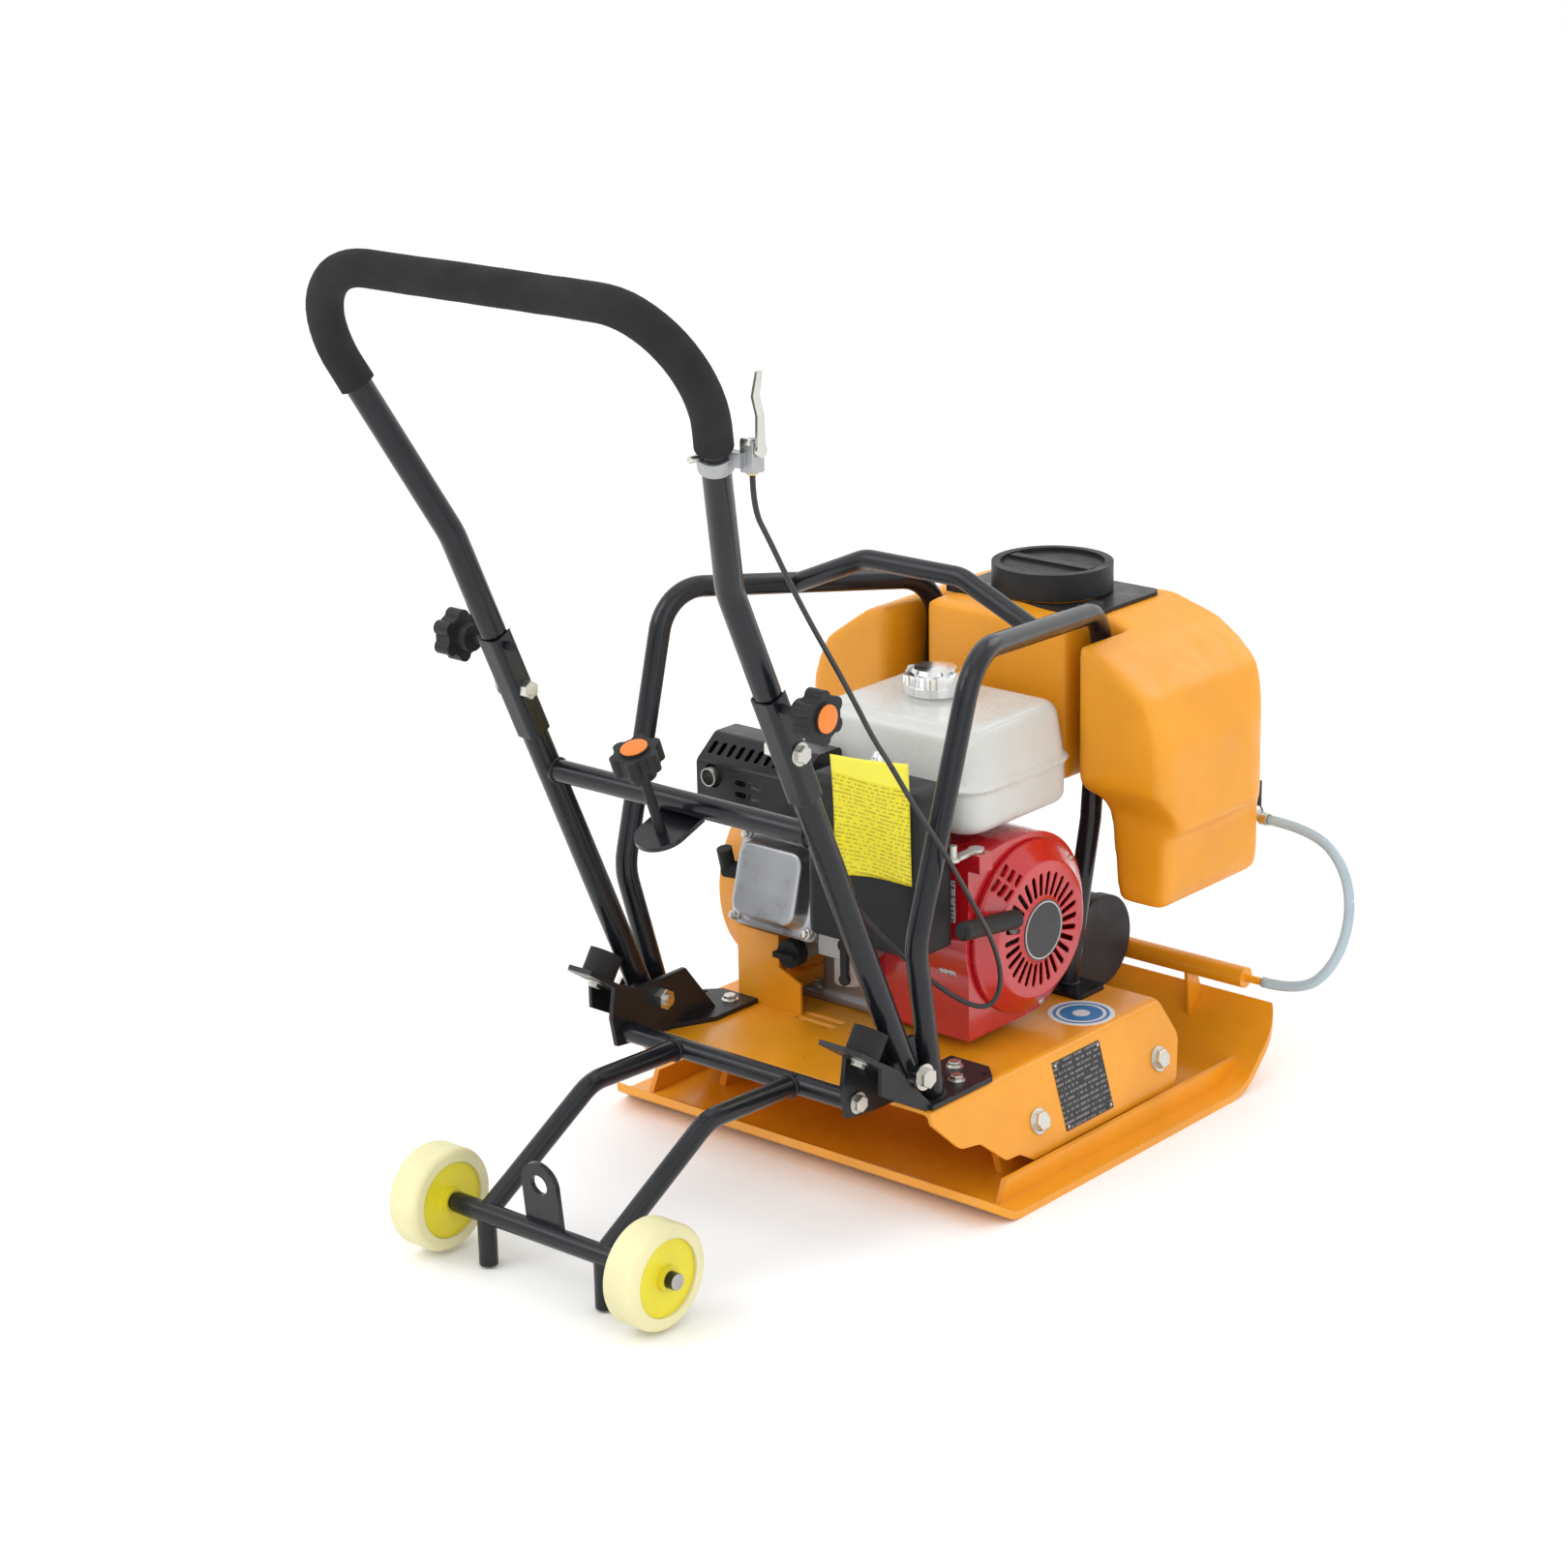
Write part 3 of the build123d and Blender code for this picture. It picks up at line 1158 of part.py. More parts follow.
with BuildPart() as hex_bolts:
    with Locations(*BOLTS_M12):
        add(flange_bolt(12, MOUNT_BOLT_GRIP))
    with Locations(*BOLTS_M8):
        add(flange_bolt(8, 13.5))
    with Locations(*BUFFER_BOLTS):
        add(flange_bolt(8, BRACKET_T + 10))
    with Locations(*FRAME_BOLTS):
        add(flange_bolt(10, 26))
    with Locations(*EXCITER_SPOTS):
        add(flange_bolt(8, 26))

# ------------------------------------------------------------------ write the nodes
NODES = {
    "base_plate": base_plate.part,
    "rubber_mounts": rubber_mounts.part,
    "deck": deck.part,
    "hex_bolts": hex_bolts.part,
    "exciter_housing": exciter_housing.part,
    "exciter_covers": exciter_covers.part,
    "exciter_bearings": exciter_bearings.part,
    "drive_belt": drive_belt.part,
    "belt_guard": belt_guard.part,
    "crankcase": crankcase.part,
    "cylinder_head": cylinder_head.part,
    "rocker_cover": rocker_cover.part,
    "fan_cover": fan_cover.part,
    "recoil_cover": recoil_cover.part,
    "fuel_tank": fuel_tank.part,
    "air_cleaner": air_cleaner.part,
    "carburettor": carburettor.part,
    "muffler": muffler.part,
    "muffler_guard": muffler_guard.part,
    "spark_plug_cap": spark_plug_cap.part,
    "guard_loop_left": guard_loop_left.part,
    "guard_loop_right": guard_loop_right.part,
    "lifting_bow": lifting_bow.part,
    "handle_brackets": handle_brackets.part,
    "handle_buffers": handle_buffers.part,
    "handle_pivot_bolts": handle_pivot_bolts.part,
    "water_tank": water_tank.part,
    "tank_strap": tank_strap.part,
    "water_tap": water_tap.part,
    "sprinkler_pipe": sprinkler_pipe.part,
    "water_hose": water_hose.part,
    "hose_clamps": hose_clamps.part,
    "hang_tag": hang_tag.part,
    "crankshaft": crankshaft.part,
    "flywheel_fan": flywheel_fan.part,
    "clutch_drum": clutch_drum.part,
    "eccentric_shaft": eccentric_shaft.part,
    "exciter_pulley": exciter_pulley.part,
    "recoil_grip": recoil_grip.part,
    "fuel_cap": fuel_cap.part,
    "water_cap": water_cap.part,
    "oil_cap": oil_cap.part,
    "throttle_arm": throttle_arm.part,
    "choke_lever": choke_lever.part,
    "water_tap_lever": water_tap_lever.part,
    "lower_handle": lower_handle.part,
    "fold_pivot_bolts": fold_pivot_bolts.part,
    "upper_handle": upper_handle.part,
    "foam_grip": foam_grip.part,
    "fold_knob_left": fold_knob_left.part,
    "fold_knob_right": fold_knob_right.part,
    "lock_knob": lock_knob.part,
    "throttle_clamp": throttle_clamp.part,
    "throttle_lever": throttle_lever.part,
    "throttle_cable": throttle_cable.part,
    "wheel_frame": wheel_frame.part,
    "wheel_tyre_left": LEFT_TYRE,
    "wheel_hub_left": LEFT_HUB,
    "wheel_tyre_right": RIGHT_TYRE,
    "wheel_hub_right": RIGHT_HUB,
}
for node, solid in NODES.items():
    solid.label = node
    export_step(solid, f"parts/{node}.step")
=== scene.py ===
"""Looks of the plate compactor: materials, printed plates, foam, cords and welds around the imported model."""

import math

import bmesh
import bpy
from mathutils import Matrix, Vector


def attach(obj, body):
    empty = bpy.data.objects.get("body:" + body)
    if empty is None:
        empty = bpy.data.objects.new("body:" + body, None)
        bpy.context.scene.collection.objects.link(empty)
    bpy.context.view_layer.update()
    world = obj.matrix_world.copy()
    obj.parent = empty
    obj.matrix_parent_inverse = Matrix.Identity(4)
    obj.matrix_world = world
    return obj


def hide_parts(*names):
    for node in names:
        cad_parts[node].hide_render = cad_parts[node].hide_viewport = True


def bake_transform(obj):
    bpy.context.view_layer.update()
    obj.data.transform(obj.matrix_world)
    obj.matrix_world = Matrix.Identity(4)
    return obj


bl_info = {
    "name": "Plate compactor looks",
    "version": (1, 0, 0),
    "blender": (4, 5, 0),
    "location": "View3D > Sidebar > Compactor",
    "description": "Builds the looks of a plate compactor around its packed model",
    "category": "Object",
}

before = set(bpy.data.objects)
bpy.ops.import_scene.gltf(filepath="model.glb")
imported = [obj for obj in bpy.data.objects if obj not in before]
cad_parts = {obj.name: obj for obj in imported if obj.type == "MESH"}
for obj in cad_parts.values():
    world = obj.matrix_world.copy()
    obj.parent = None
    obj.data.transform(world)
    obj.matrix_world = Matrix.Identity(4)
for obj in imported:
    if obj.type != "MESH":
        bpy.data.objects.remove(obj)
LOOKS = {}
PREFIX = "compactor"

# wheel axle, crank and wheel frame pivot (Y, Z), the lock knob's stud about that pivot, the round mark
# on the deck (X, Y) and the foam's radius, in metres
AXLE = (-0.572, 0.054)
CRANK = (-0.019, 0.221)
FRAME_PIVOT = (-0.304, 0.132)
LOCK_RADIUS = 0.2768
LOCK_ANGLE = math.radians(110.07)
ROUND_MARK = (0.152, 0.045)
FOAM_RADIUS = 0.017

# the handle's plane: its lean from upright, then millimetres across and up from the pivot of the grip bar's
# corners, the lower legs and their bend, the foam's ends and the fold knobs' studs
HANDLE_LEAN = math.radians(24)
TOP_U = 248.0
TOP_V = 848.0
LEG_U = 168.0
LEG_BEND_V = 563.0
FOAM_LOW = 719.0
FOAM_END = LEG_U + (FOAM_LOW - LEG_BEND_V) * (TOP_U - LEG_U) / (TOP_V - LEG_BEND_V)
GRIP_BEND = 85.0
STUD_V = 438.0


# ------------------------------------------------------------------ settings
class CompactorPaint(bpy.types.PropertyGroup):
    """Colours and surface sizes of the machine."""

    body: bpy.props.FloatVectorProperty(
        name="Body paint", description="Paint of deck and plate", subtype="COLOR", size=3,
        default=(0.8, 0.315, 0.006),
    )
    cowl: bpy.props.FloatVectorProperty(
        name="Cowl paint", description="Paint of the fan cowl", subtype="COLOR", size=3,
        default=(0.5, 0.004, 0.01),
    )
    tube: bpy.props.FloatVectorProperty(
        name="Tube paint", description="Powder coat of tubes", subtype="COLOR", size=3,
        default=(0.008, 0.009, 0.012),
    )
    knob: bpy.props.FloatVectorProperty(
        name="Knob cap", description="Colour of the knob caps", subtype="COLOR", size=3,
        default=(0.82, 0.2, 0.012),
    )
    edge: bpy.props.FloatProperty(
        name="Edge", description="Rounding seen on sharp edges", default=0.0012, min=0.0, unit="LENGTH"
    )


class CompactorStage(bpy.types.PropertyGroup):
    """Camera and room."""

    azimuth: bpy.props.FloatProperty(
        name="Azimuth", description="Camera turn about the machine", subtype="ANGLE",
        default=math.radians(39.25),
    )
    elevation: bpy.props.FloatProperty(
        name="Elevation", description="Camera height angle", default=math.radians(17.87), subtype="ANGLE"
    )
    distance: bpy.props.FloatProperty(
        name="Distance", description="Camera distance", default=3.581, min=0.5, unit="LENGTH"
    )
    lens: bpy.props.FloatProperty(
        name="Lens", description="Focal length in millimetres", default=82.9, min=10
    )
    floor: bpy.props.FloatProperty(
        name="Floor", description="Half width of the floor", default=60.0, min=1.0, unit="LENGTH"
    )


# ------------------------------------------------------------------ shader helpers
def shader(name):
    """A new look under its name: the material's tree, its surface node and object coordinates."""
    made = bpy.data.materials.new(f"{PREFIX}_{name}")
    made.use_nodes = True
    LOOKS[name] = made
    tree = made.node_tree
    surface = tree.nodes["Principled BSDF"]
    where = tree.nodes.new("ShaderNodeTexCoord").outputs["Object"]
    return tree, surface, where


def wire(tree, kind, inputs=(), **settings):
    """Adds a node, sets its settings, and fills its inputs with values or links."""
    node = tree.nodes.new(kind)
    for key, value in settings.items():
        setattr(node, key, value)
    for key, value in dict(inputs).items():
        socket = node.inputs[key]
        if isinstance(value, bpy.types.NodeSocket):
            tree.links.new(value, socket)
        else:
            socket.default_value = value
    return node


def noise(tree, where, scale, detail=4.0, rough=0.55):
    """A noise value at a scale per metre."""
    made = wire(
        tree, "ShaderNodeTexNoise", {"Vector": where, "Scale": scale, "Detail": detail, "Roughness": rough}
    )
    return made.outputs["Fac"]


def between(tree, value, low, high, to_low=0.0, to_high=1.0):
    """Maps a value's range on another range, clamped."""
    made = wire(
        tree,
        "ShaderNodeMapRange",
        {"Value": value, "From Min": low, "From Max": high, "To Min": to_low, "To Max": to_high},
    )
    return made.outputs["Result"]


def blended(tree, share, first, second):
    """Mixes two colours by a share."""
    made = wire(tree, "ShaderNodeMix", {"Factor": share}, data_type="RGBA")
    for socket, value in ((made.inputs[6], first), (made.inputs[7], second)):
        if isinstance(value, bpy.types.NodeSocket):
            tree.links.new(value, socket)
        else:
            socket.default_value = (*value, 1.0)
    return made.outputs[2]


def finish_surface(name, colour, roughness, metal=0.0, coat=0.0, grain=700.0, height=0.00012, mottle=0.12,
                   worn=None, streak=None, voronoi=False):
    """A surface with mottling, grain, dust in its roughness, rounded edges and worn rims."""
    tree, surface, where = shader(name)
    edge = bpy.context.scene.compactor_paint.edge
    cloud = noise(tree, where, 9.0, 5.0)
    fine = noise(tree, where, grain, 3.0)
    if streak:
        squeeze = wire(tree, "ShaderNodeMapping", {"Vector": where, "Scale": streak})
        fine = noise(tree, squeeze.outputs["Vector"], grain, 4.0)
    if voronoi:
        cells = wire(tree, "ShaderNodeTexVoronoi", {"Vector": where, "Scale": grain})
        fine = cells.outputs["Distance"]
    darker = tuple(c * (1 - mottle) for c in colour)
    lighter = tuple(min(1.0, c * (1 + mottle * 0.6) + 0.002) for c in colour)
    tone = blended(tree, between(tree, cloud, 0.35, 0.68), darker, lighter)
    rounded = wire(tree, "ShaderNodeBevel", {"Radius": edge}, samples=4)
    if worn:
        shape = wire(tree, "ShaderNodeNewGeometry")
        facing = wire(
            tree, "ShaderNodeVectorMath", {0: rounded.outputs["Normal"], 1: shape.outputs["True Normal"]},
            operation="DOT_PRODUCT",
        )
        rim = between(tree, facing.outputs["Value"], 0.965, 0.90)
        patch = between(tree, noise(tree, where, 60.0, 6.0, 0.7), 0.52, 0.62)
        share = wire(tree, "ShaderNodeMath", {0: rim, 1: patch}, operation="MULTIPLY").outputs["Value"]
        tone = blended(tree, share, tone, worn)
    tree.links.new(tone, surface.inputs["Base Color"])
    tree.links.new(
        between(tree, noise(tree, where, 38.0, 6.0), 0.3, 0.75,
                max(0.03, roughness - 0.09), roughness + 0.13),
        surface.inputs["Roughness"],
    )
    relief = wire(
        tree, "ShaderNodeBump",
        {"Height": fine, "Distance": height, "Strength": 0.6, "Normal": rounded.outputs["Normal"]},
    )
    tree.links.new(relief.outputs["Normal"], surface.inputs["Normal"])
    surface.inputs["Metallic"].default_value = metal
    surface.inputs["Coat Weight"].default_value = coat
    surface.inputs["Coat Roughness"].default_value = 0.12


def printed_surface(name, paper, ink, rows, row_axis, column_axis, band=None, roughness=0.42):
    """A printed card: rows of broken strokes, with no lettering."""
    tree, surface, where = shader(name)
    split = wire(tree, "ShaderNodeSeparateXYZ", {"Vector": where})
    along = split.outputs[column_axis]
    down = split.outputs[row_axis]
    row = wire(tree, "ShaderNodeMath", {0: down, 1: rows}, operation="MULTIPLY").outputs["Value"]
    step = wire(tree, "ShaderNodeMath", {0: row}, operation="FLOOR").outputs["Value"]
    part = wire(tree, "ShaderNodeMath", {0: row}, operation="FRACT").outputs["Value"]
    line = wire(tree, "ShaderNodeMath", {0: part, 1: 0.42}, operation="LESS_THAN").outputs["Value"]
    spot = wire(tree, "ShaderNodeCombineXYZ", {"X": along, "Y": step})
    stretch = wire(tree, "ShaderNodeMapping", {"Vector": spot.outputs["Vector"], "Scale": (260.0, 3.7, 1.0)})
    broken = between(tree, noise(tree, stretch.outputs["Vector"], 1.0, 1.0), 0.45, 0.5)
    share = wire(tree, "ShaderNodeMath", {0: line, 1: broken}, operation="MULTIPLY").outputs["Value"]
    tone = blended(tree, share, paper, ink)
    if band:
        level, colour = band
        top = wire(tree, "ShaderNodeMath", {0: down, 1: level}, operation="GREATER_THAN").outputs["Value"]
        tone = blended(tree, top, tone, colour)
    tree.links.new(tone, surface.inputs["Base Color"])
    tree.links.new(between(tree, noise(tree, where, 50.0), 0.3, 0.7, roughness - 0.08, roughness + 0.1),
                   surface.inputs["Roughness"])
    relief = wire(
        tree, "ShaderNodeBump", {"Height": noise(tree, where, 30.0), "Distance": 0.0006, "Strength": 0.5}
    )
    tree.links.new(relief.outputs["Normal"], surface.inputs["Normal"])


def ring_surface(name, centre, axes, rings, fallback):
    """Concentric flat colours about a centre: rings are (outer radius, colour) from the inside out."""
    tree, surface, where = shader(name)
    split = wire(tree, "ShaderNodeSeparateXYZ", {"Vector": where})
    first = wire(tree, "ShaderNodeMath", {0: split.outputs[axes[0]], 1: centre[0]}, operation="SUBTRACT")
    second = wire(tree, "ShaderNodeMath", {0: split.outputs[axes[1]], 1: centre[1]}, operation="SUBTRACT")
    flat = wire(tree, "ShaderNodeCombineXYZ", {"X": first.outputs["Value"], "Y": second.outputs["Value"]})
    length = wire(tree, "ShaderNodeVectorMath", {0: flat.outputs["Vector"]}, operation="LENGTH")
    away = length.outputs["Value"]
    tone = fallback
    for radius, colour in reversed(rings):
        share = wire(tree, "ShaderNodeMath", {0: away, 1: radius}, operation="LESS_THAN").outputs["Value"]
        tone = blended(tree, share, tone, colour)
    tree.links.new(tone, surface.inputs["Base Color"])
    tree.links.new(between(tree, noise(tree, where, 45.0), 0.3, 0.7, 0.28, 0.46), surface.inputs["Roughness"])
    relief = wire(
        tree, "ShaderNodeBump", {"Height": noise(tree, where, 500.0), "Distance": 0.0001, "Strength": 0.4}
    )
    tree.links.new(relief.outputs["Normal"], surface.inputs["Normal"])


# ------------------------------------------------------------------ mesh helpers
def keep(mesh_data, name, body, look, smooth=True):
    """Makes a named object of a bmesh, paints it and lets it ride on a body."""
    bmesh.ops.recalc_face_normals(mesh_data, faces=mesh_data.faces)
    data = bpy.data.meshes.new(name)
    mesh_data.to_mesh(data)
    mesh_data.free()
    for face in data.polygons:
        face.use_smooth = smooth
    piece = bpy.data.objects.new(name, data)
    bpy.context.scene.collection.objects.link(piece)
    piece.data.materials.append(LOOKS[look])
    if body:
        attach(piece, body)
    return piece


def towards(axis):
    """The rotation that turns Z on an axis."""
    return Vector(axis).normalized().to_track_quat("Z", "Y").to_matrix().to_4x4()


def disc(mesh_data, centre, axis, radius, depth, top=None, segments=64, bevel=0.0):
    """Adds a capped round along an axis, its rims rounded."""
    place = Matrix.Translation(Vector(centre)) @ towards(axis)
    made = bmesh.ops.create_cone(
        mesh_data, cap_ends=True, segments=segments, radius1=radius, radius2=radius if top is None else top,
        depth=depth, matrix=place,
    )
    if bevel:
        rims = {e for v in made["verts"] for e in v.link_edges if len(e.link_faces) == 2
                and any(len(f.verts) > 4 for f in e.link_faces)}
        bmesh.ops.bevel(mesh_data, geom=list(rims), offset=bevel, segments=3, affect="EDGES", profile=0.5,
                         material=-1)
    return made


def slab(mesh_data, centre, size, turn=None, bevel=0.0):
    """Adds a block with rounded edges."""
    place = Matrix.Translation(Vector(centre)) @ (turn or Matrix.Identity(4)) @ Matrix.Diagonal((*size, 1.0))
    made = bmesh.ops.create_cube(mesh_data, size=1.0, matrix=place)
    if bevel:
        sides = list({e for v in made["verts"] for e in v.link_edges})
        bmesh.ops.bevel(mesh_data, geom=sides, offset=bevel, segments=3, affect="EDGES", profile=0.5,
                         material=-1)
    return made


def round_path(points, order=3):
    """A NURBS curve object through control points, unlinked from any look."""
    data = bpy.data.curves.new("route", "CURVE")
    data.dimensions = "3D"
    spline = data.splines.new("NURBS")
    spline.points.add(len(points) - 1)
    for spot, point in zip(spline.points, points):
        spot.co = (*point, 1.0)
    spline.order_u = order
    spline.use_endpoint_u = True
    spline.resolution_u = 10
    return bpy.data.objects.new("route", data)


def read_line(route):
    """The points of a curve with no bevel, in order."""
    bpy.context.scene.collection.objects.link(route)
    bpy.context.view_layer.update()
    graph = bpy.context.evaluated_depsgraph_get()
    line = bpy.data.meshes.new_from_object(route.evaluated_get(graph))
    points = [v.co.copy() for v in line.vertices]
    bpy.data.meshes.remove(line)
    bpy.data.objects.remove(route)
    return points


def skin_line(mesh_data, points, radius, segments=16):
    """Adds a closed round tube along points by spinning rings of one frame carried along the line."""
    up = Vector((0.0, 0.0, 1.0))
    rings = []
    for index, point in enumerate(points):
        ahead = points[min(index + 1, len(points) - 1)] - points[max(index - 1, 0)]
        ahead.normalize()
        side = ahead.cross(up)
        if side.length < 1e-4:
            side = ahead.cross(Vector((1.0, 0.0, 0.0)))
        side.normalize()
        up = side.cross(ahead).normalized()
        turn = Matrix((side, up, ahead)).transposed().to_4x4()
        made = bmesh.ops.create_circle(
            mesh_data, cap_ends=False, segments=segments, radius=radius,
            matrix=Matrix.Translation(point) @ turn,
        )
        rings.append(made["verts"])
    for first, second in zip(rings, rings[1:]):
        edges = [e for e in {e for v in first for e in v.link_edges} if all(v in first for v in e.verts)]
        edges += [e for e in {e for v in second for e in v.link_edges} if all(v in second for v in e.verts)]
        bmesh.ops.bridge_loops(mesh_data, edges=edges)
    for ring in (rings[0], rings[-1]):
        bmesh.ops.contextual_create(mesh_data, geom=ring)


# ------------------------------------------------------------------ looks
NODE_LOOKS = {
    "body_paint": ("base_plate", "deck", "belt_guard", "sprinkler_pipe"),
    "tank_shell": ("water_tank",),
    "tube_paint": ("guard_loop_left", "guard_loop_right", "lifting_bow", "lower_handle", "upper_handle",
                   "wheel_frame"),
    "bracket_paint": ("handle_brackets", "tank_strap"),
    "zinc": ("hex_bolts", "handle_pivot_bolts", "fold_pivot_bolts", "throttle_arm", "throttle_lever",
             "water_tap", "hose_clamps"),
    "cast": ("crankcase", "cylinder_head", "carburettor", "throttle_clamp"),
    "cover_alloy": ("rocker_cover",),
    "iron": ("exciter_housing", "exciter_covers", "flywheel_fan"),
    "steel": ("crankshaft", "clutch_drum", "eccentric_shaft", "exciter_pulley", "exciter_bearings",
              "muffler"),
    "rubber": ("rubber_mounts", "handle_buffers", "spark_plug_cap", "drive_belt"),
    "cowl_paint": ("fan_cover", "recoil_cover"),
    "fuel_white": ("fuel_tank",),
    "plastic": ("air_cleaner", "fold_knob_left", "fold_knob_right", "lock_knob", "water_cap", "oil_cap",
                "recoil_grip", "choke_lever", "water_tap_lever"),
    "heat_black": ("muffler_guard",),
    "chrome": ("fuel_cap",),
    "cream": ("wheel_tyre_left", "wheel_tyre_right"),
    "wheel_yellow": ("wheel_hub_left", "wheel_hub_right"),
    "foam": ("foam_grip",),
    "cable": ("throttle_cable",),
    "hose": ("water_hose",),
    "tag": ("hang_tag",),
}

# dark finishes that mirror little of a white room
DULL_LOOKS = ("tube_paint", "bracket_paint", "plastic", "foam", "rubber", "heat_black", "iron", "weld")


def set_surface(look, name, value):
    """Sets one input of a look's surface."""
    LOOKS[look].node_tree.nodes["Principled BSDF"].inputs[name].default_value = value


class COMPACTOR_OT_looks(bpy.types.Operator):
    """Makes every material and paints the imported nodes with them"""

    bl_idname = "compactor.looks"
    bl_label = "Paint the machine"

    def execute(self, context):
        """Fills the table of looks and assigns it by node."""
        paint = context.scene.compactor_paint
        body, cowl, tube = tuple(paint.body), tuple(paint.cowl), tuple(paint.tube)
        finish_surface("body_paint", body, 0.36, coat=0.22, grain=520, height=0.00016, mottle=0.1,
                       worn=(0.62, 0.27, 0.03))
        finish_surface("tank_shell", tuple(c * 0.97 for c in body), 0.42, grain=900, height=0.00014,
                       mottle=0.08)
        finish_surface("tube_paint", tube, 0.25, coat=0.25, grain=420, height=0.0001, mottle=0.15,
                       worn=(0.05, 0.05, 0.055))
        finish_surface("bracket_paint", (0.011, 0.012, 0.014), 0.38, coat=0.15, grain=480,
                       height=0.00014, mottle=0.2, worn=(0.09, 0.09, 0.09))
        finish_surface("zinc", (0.66, 0.65, 0.6), 0.3, metal=1.0, grain=900, height=0.00008,
                       mottle=0.16, worn=(0.4, 0.38, 0.34))
        finish_surface("cast", (0.42, 0.43, 0.44), 0.44, metal=0.9, grain=820, height=0.0003,
                       mottle=0.14, worn=(0.7, 0.7, 0.7))
        finish_surface("cover_alloy", (0.47, 0.48, 0.5), 0.33, metal=0.92, grain=900, height=0.0001,
                       mottle=0.06)
        finish_surface("iron", (0.035, 0.035, 0.038), 0.5, metal=0.3, grain=520, height=0.0004,
                       mottle=0.3, worn=(0.12, 0.12, 0.12))
        finish_surface("steel", (0.42, 0.41, 0.39), 0.32, metal=1.0, grain=600, height=0.00008, mottle=0.15,
                       streak=(1.0, 0.05, 0.05))
        finish_surface("rubber", (0.016, 0.016, 0.017), 0.62, grain=900, height=0.0002, mottle=0.3)
        finish_surface("cowl_paint", cowl, 0.24, coat=0.7, grain=430, height=0.00008, mottle=0.12,
                       worn=(0.36, 0.02, 0.02))
        finish_surface("fuel_white", (0.6, 0.61, 0.58), 0.3, coat=0.3, grain=420, height=0.00008,
                       mottle=0.04)
        finish_surface("plastic", (0.014, 0.015, 0.017), 0.44, grain=1500, height=0.00018, mottle=0.2,
                       voronoi=True)
        finish_surface("heat_black", (0.012, 0.012, 0.013), 0.34, coat=0.15, grain=700, height=0.00014,
                       mottle=0.3, worn=(0.2, 0.2, 0.2))
        finish_surface("chrome", (0.78, 0.78, 0.78), 0.1, metal=1.0, grain=300, height=0.00003,
                       mottle=0.06)
        finish_surface("cream", (0.72, 0.67, 0.38), 0.4, grain=500, height=0.0002, mottle=0.14)
        finish_surface("wheel_yellow", (0.72, 0.62, 0.02), 0.4, grain=800, height=0.00015, mottle=0.12)
        finish_surface("foam", (0.018, 0.018, 0.019), 0.88, grain=950, height=0.0007, mottle=0.2,
                       voronoi=True)
        finish_surface("cable", (0.012, 0.012, 0.014), 0.36, grain=1200, height=0.0001, mottle=0.2)
        finish_surface("weld", (0.015, 0.015, 0.017), 0.34, coat=0.2, grain=260, height=0.0012,
                       mottle=0.3)
        finish_surface("hose", (0.5, 0.62, 0.68), 0.16, grain=400, height=0.00005, mottle=0.08)
        finish_surface("orange", tuple(paint.knob), 0.4, grain=1300, height=0.0001, mottle=0.08)
        finish_surface("brass", (0.72, 0.5, 0.2), 0.3, metal=1.0, grain=900, height=0.0001, mottle=0.15)
        printed_surface("tag", (0.8, 0.7, 0.01), (0.5, 0.4, 0.012), 250.0, "Z", "X",
                        band=(0.4, (0.87, 0.8, 0.06)))
        printed_surface("plate_print", (0.014, 0.014, 0.015), (0.16, 0.16, 0.16), 190.0, "Z", "Y")
        printed_surface("strip_print", (0.55, 0.55, 0.54), (0.1, 0.1, 0.1), 210.0, "Z", "X")
        blue, pale = (0.03, 0.2, 0.5), (0.75, 0.78, 0.8)
        ring_surface("round_print", ROUND_MARK, ("X", "Y"),
                     [(0.009, (0.7, 0.75, 0.8)), (0.022, blue), (0.0255, pale), (0.029, blue)], pale)
        ring_surface("badge", CRANK, ("Y", "Z"),
                     [(0.028, (0.02, 0.02, 0.022)), (0.0295, (0.45, 0.45, 0.45))], (0.03, 0.03, 0.032))
        for dull in DULL_LOOKS:
            set_surface(dull, "Specular IOR Level", 0.24)
        set_surface("hose", "Transmission Weight", 0.45)
        for look, nodes in NODE_LOOKS.items():
            for node in nodes:
                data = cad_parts[node].data
                data.materials.clear()
                data.materials.append(LOOKS[look])
        return {"FINISHED"}


# moulded and cast pieces: node, material slot, grain of the even mesh in metres, smoothing passes
SHELLS = (
    ("water_tank", "yellow_plastic", 0.004, 14),
    ("fuel_tank", "tank_white", 0.0022, 7),
    ("air_cleaner", "black_plastic", 0.0018, 4),
    ("rocker_cover", "alloy", 0.0015, 5),
    ("crankcase", "alloy", 0.0022, 3),
    ("recoil_cover", "red_paint", 0.0011, 2),
    ("exciter_housing", "dark_iron", 0.0025, 4),
)


def merge_doubles(data):
    """Joins the corners that a mesh's triangles share."""
    mesh_data = bmesh.new()
    mesh_data.from_mesh(data)
    bmesh.ops.remove_doubles(mesh_data, verts=mesh_data.verts, dist=1e-6)
    mesh_data.to_mesh(data)
    mesh_data.free()


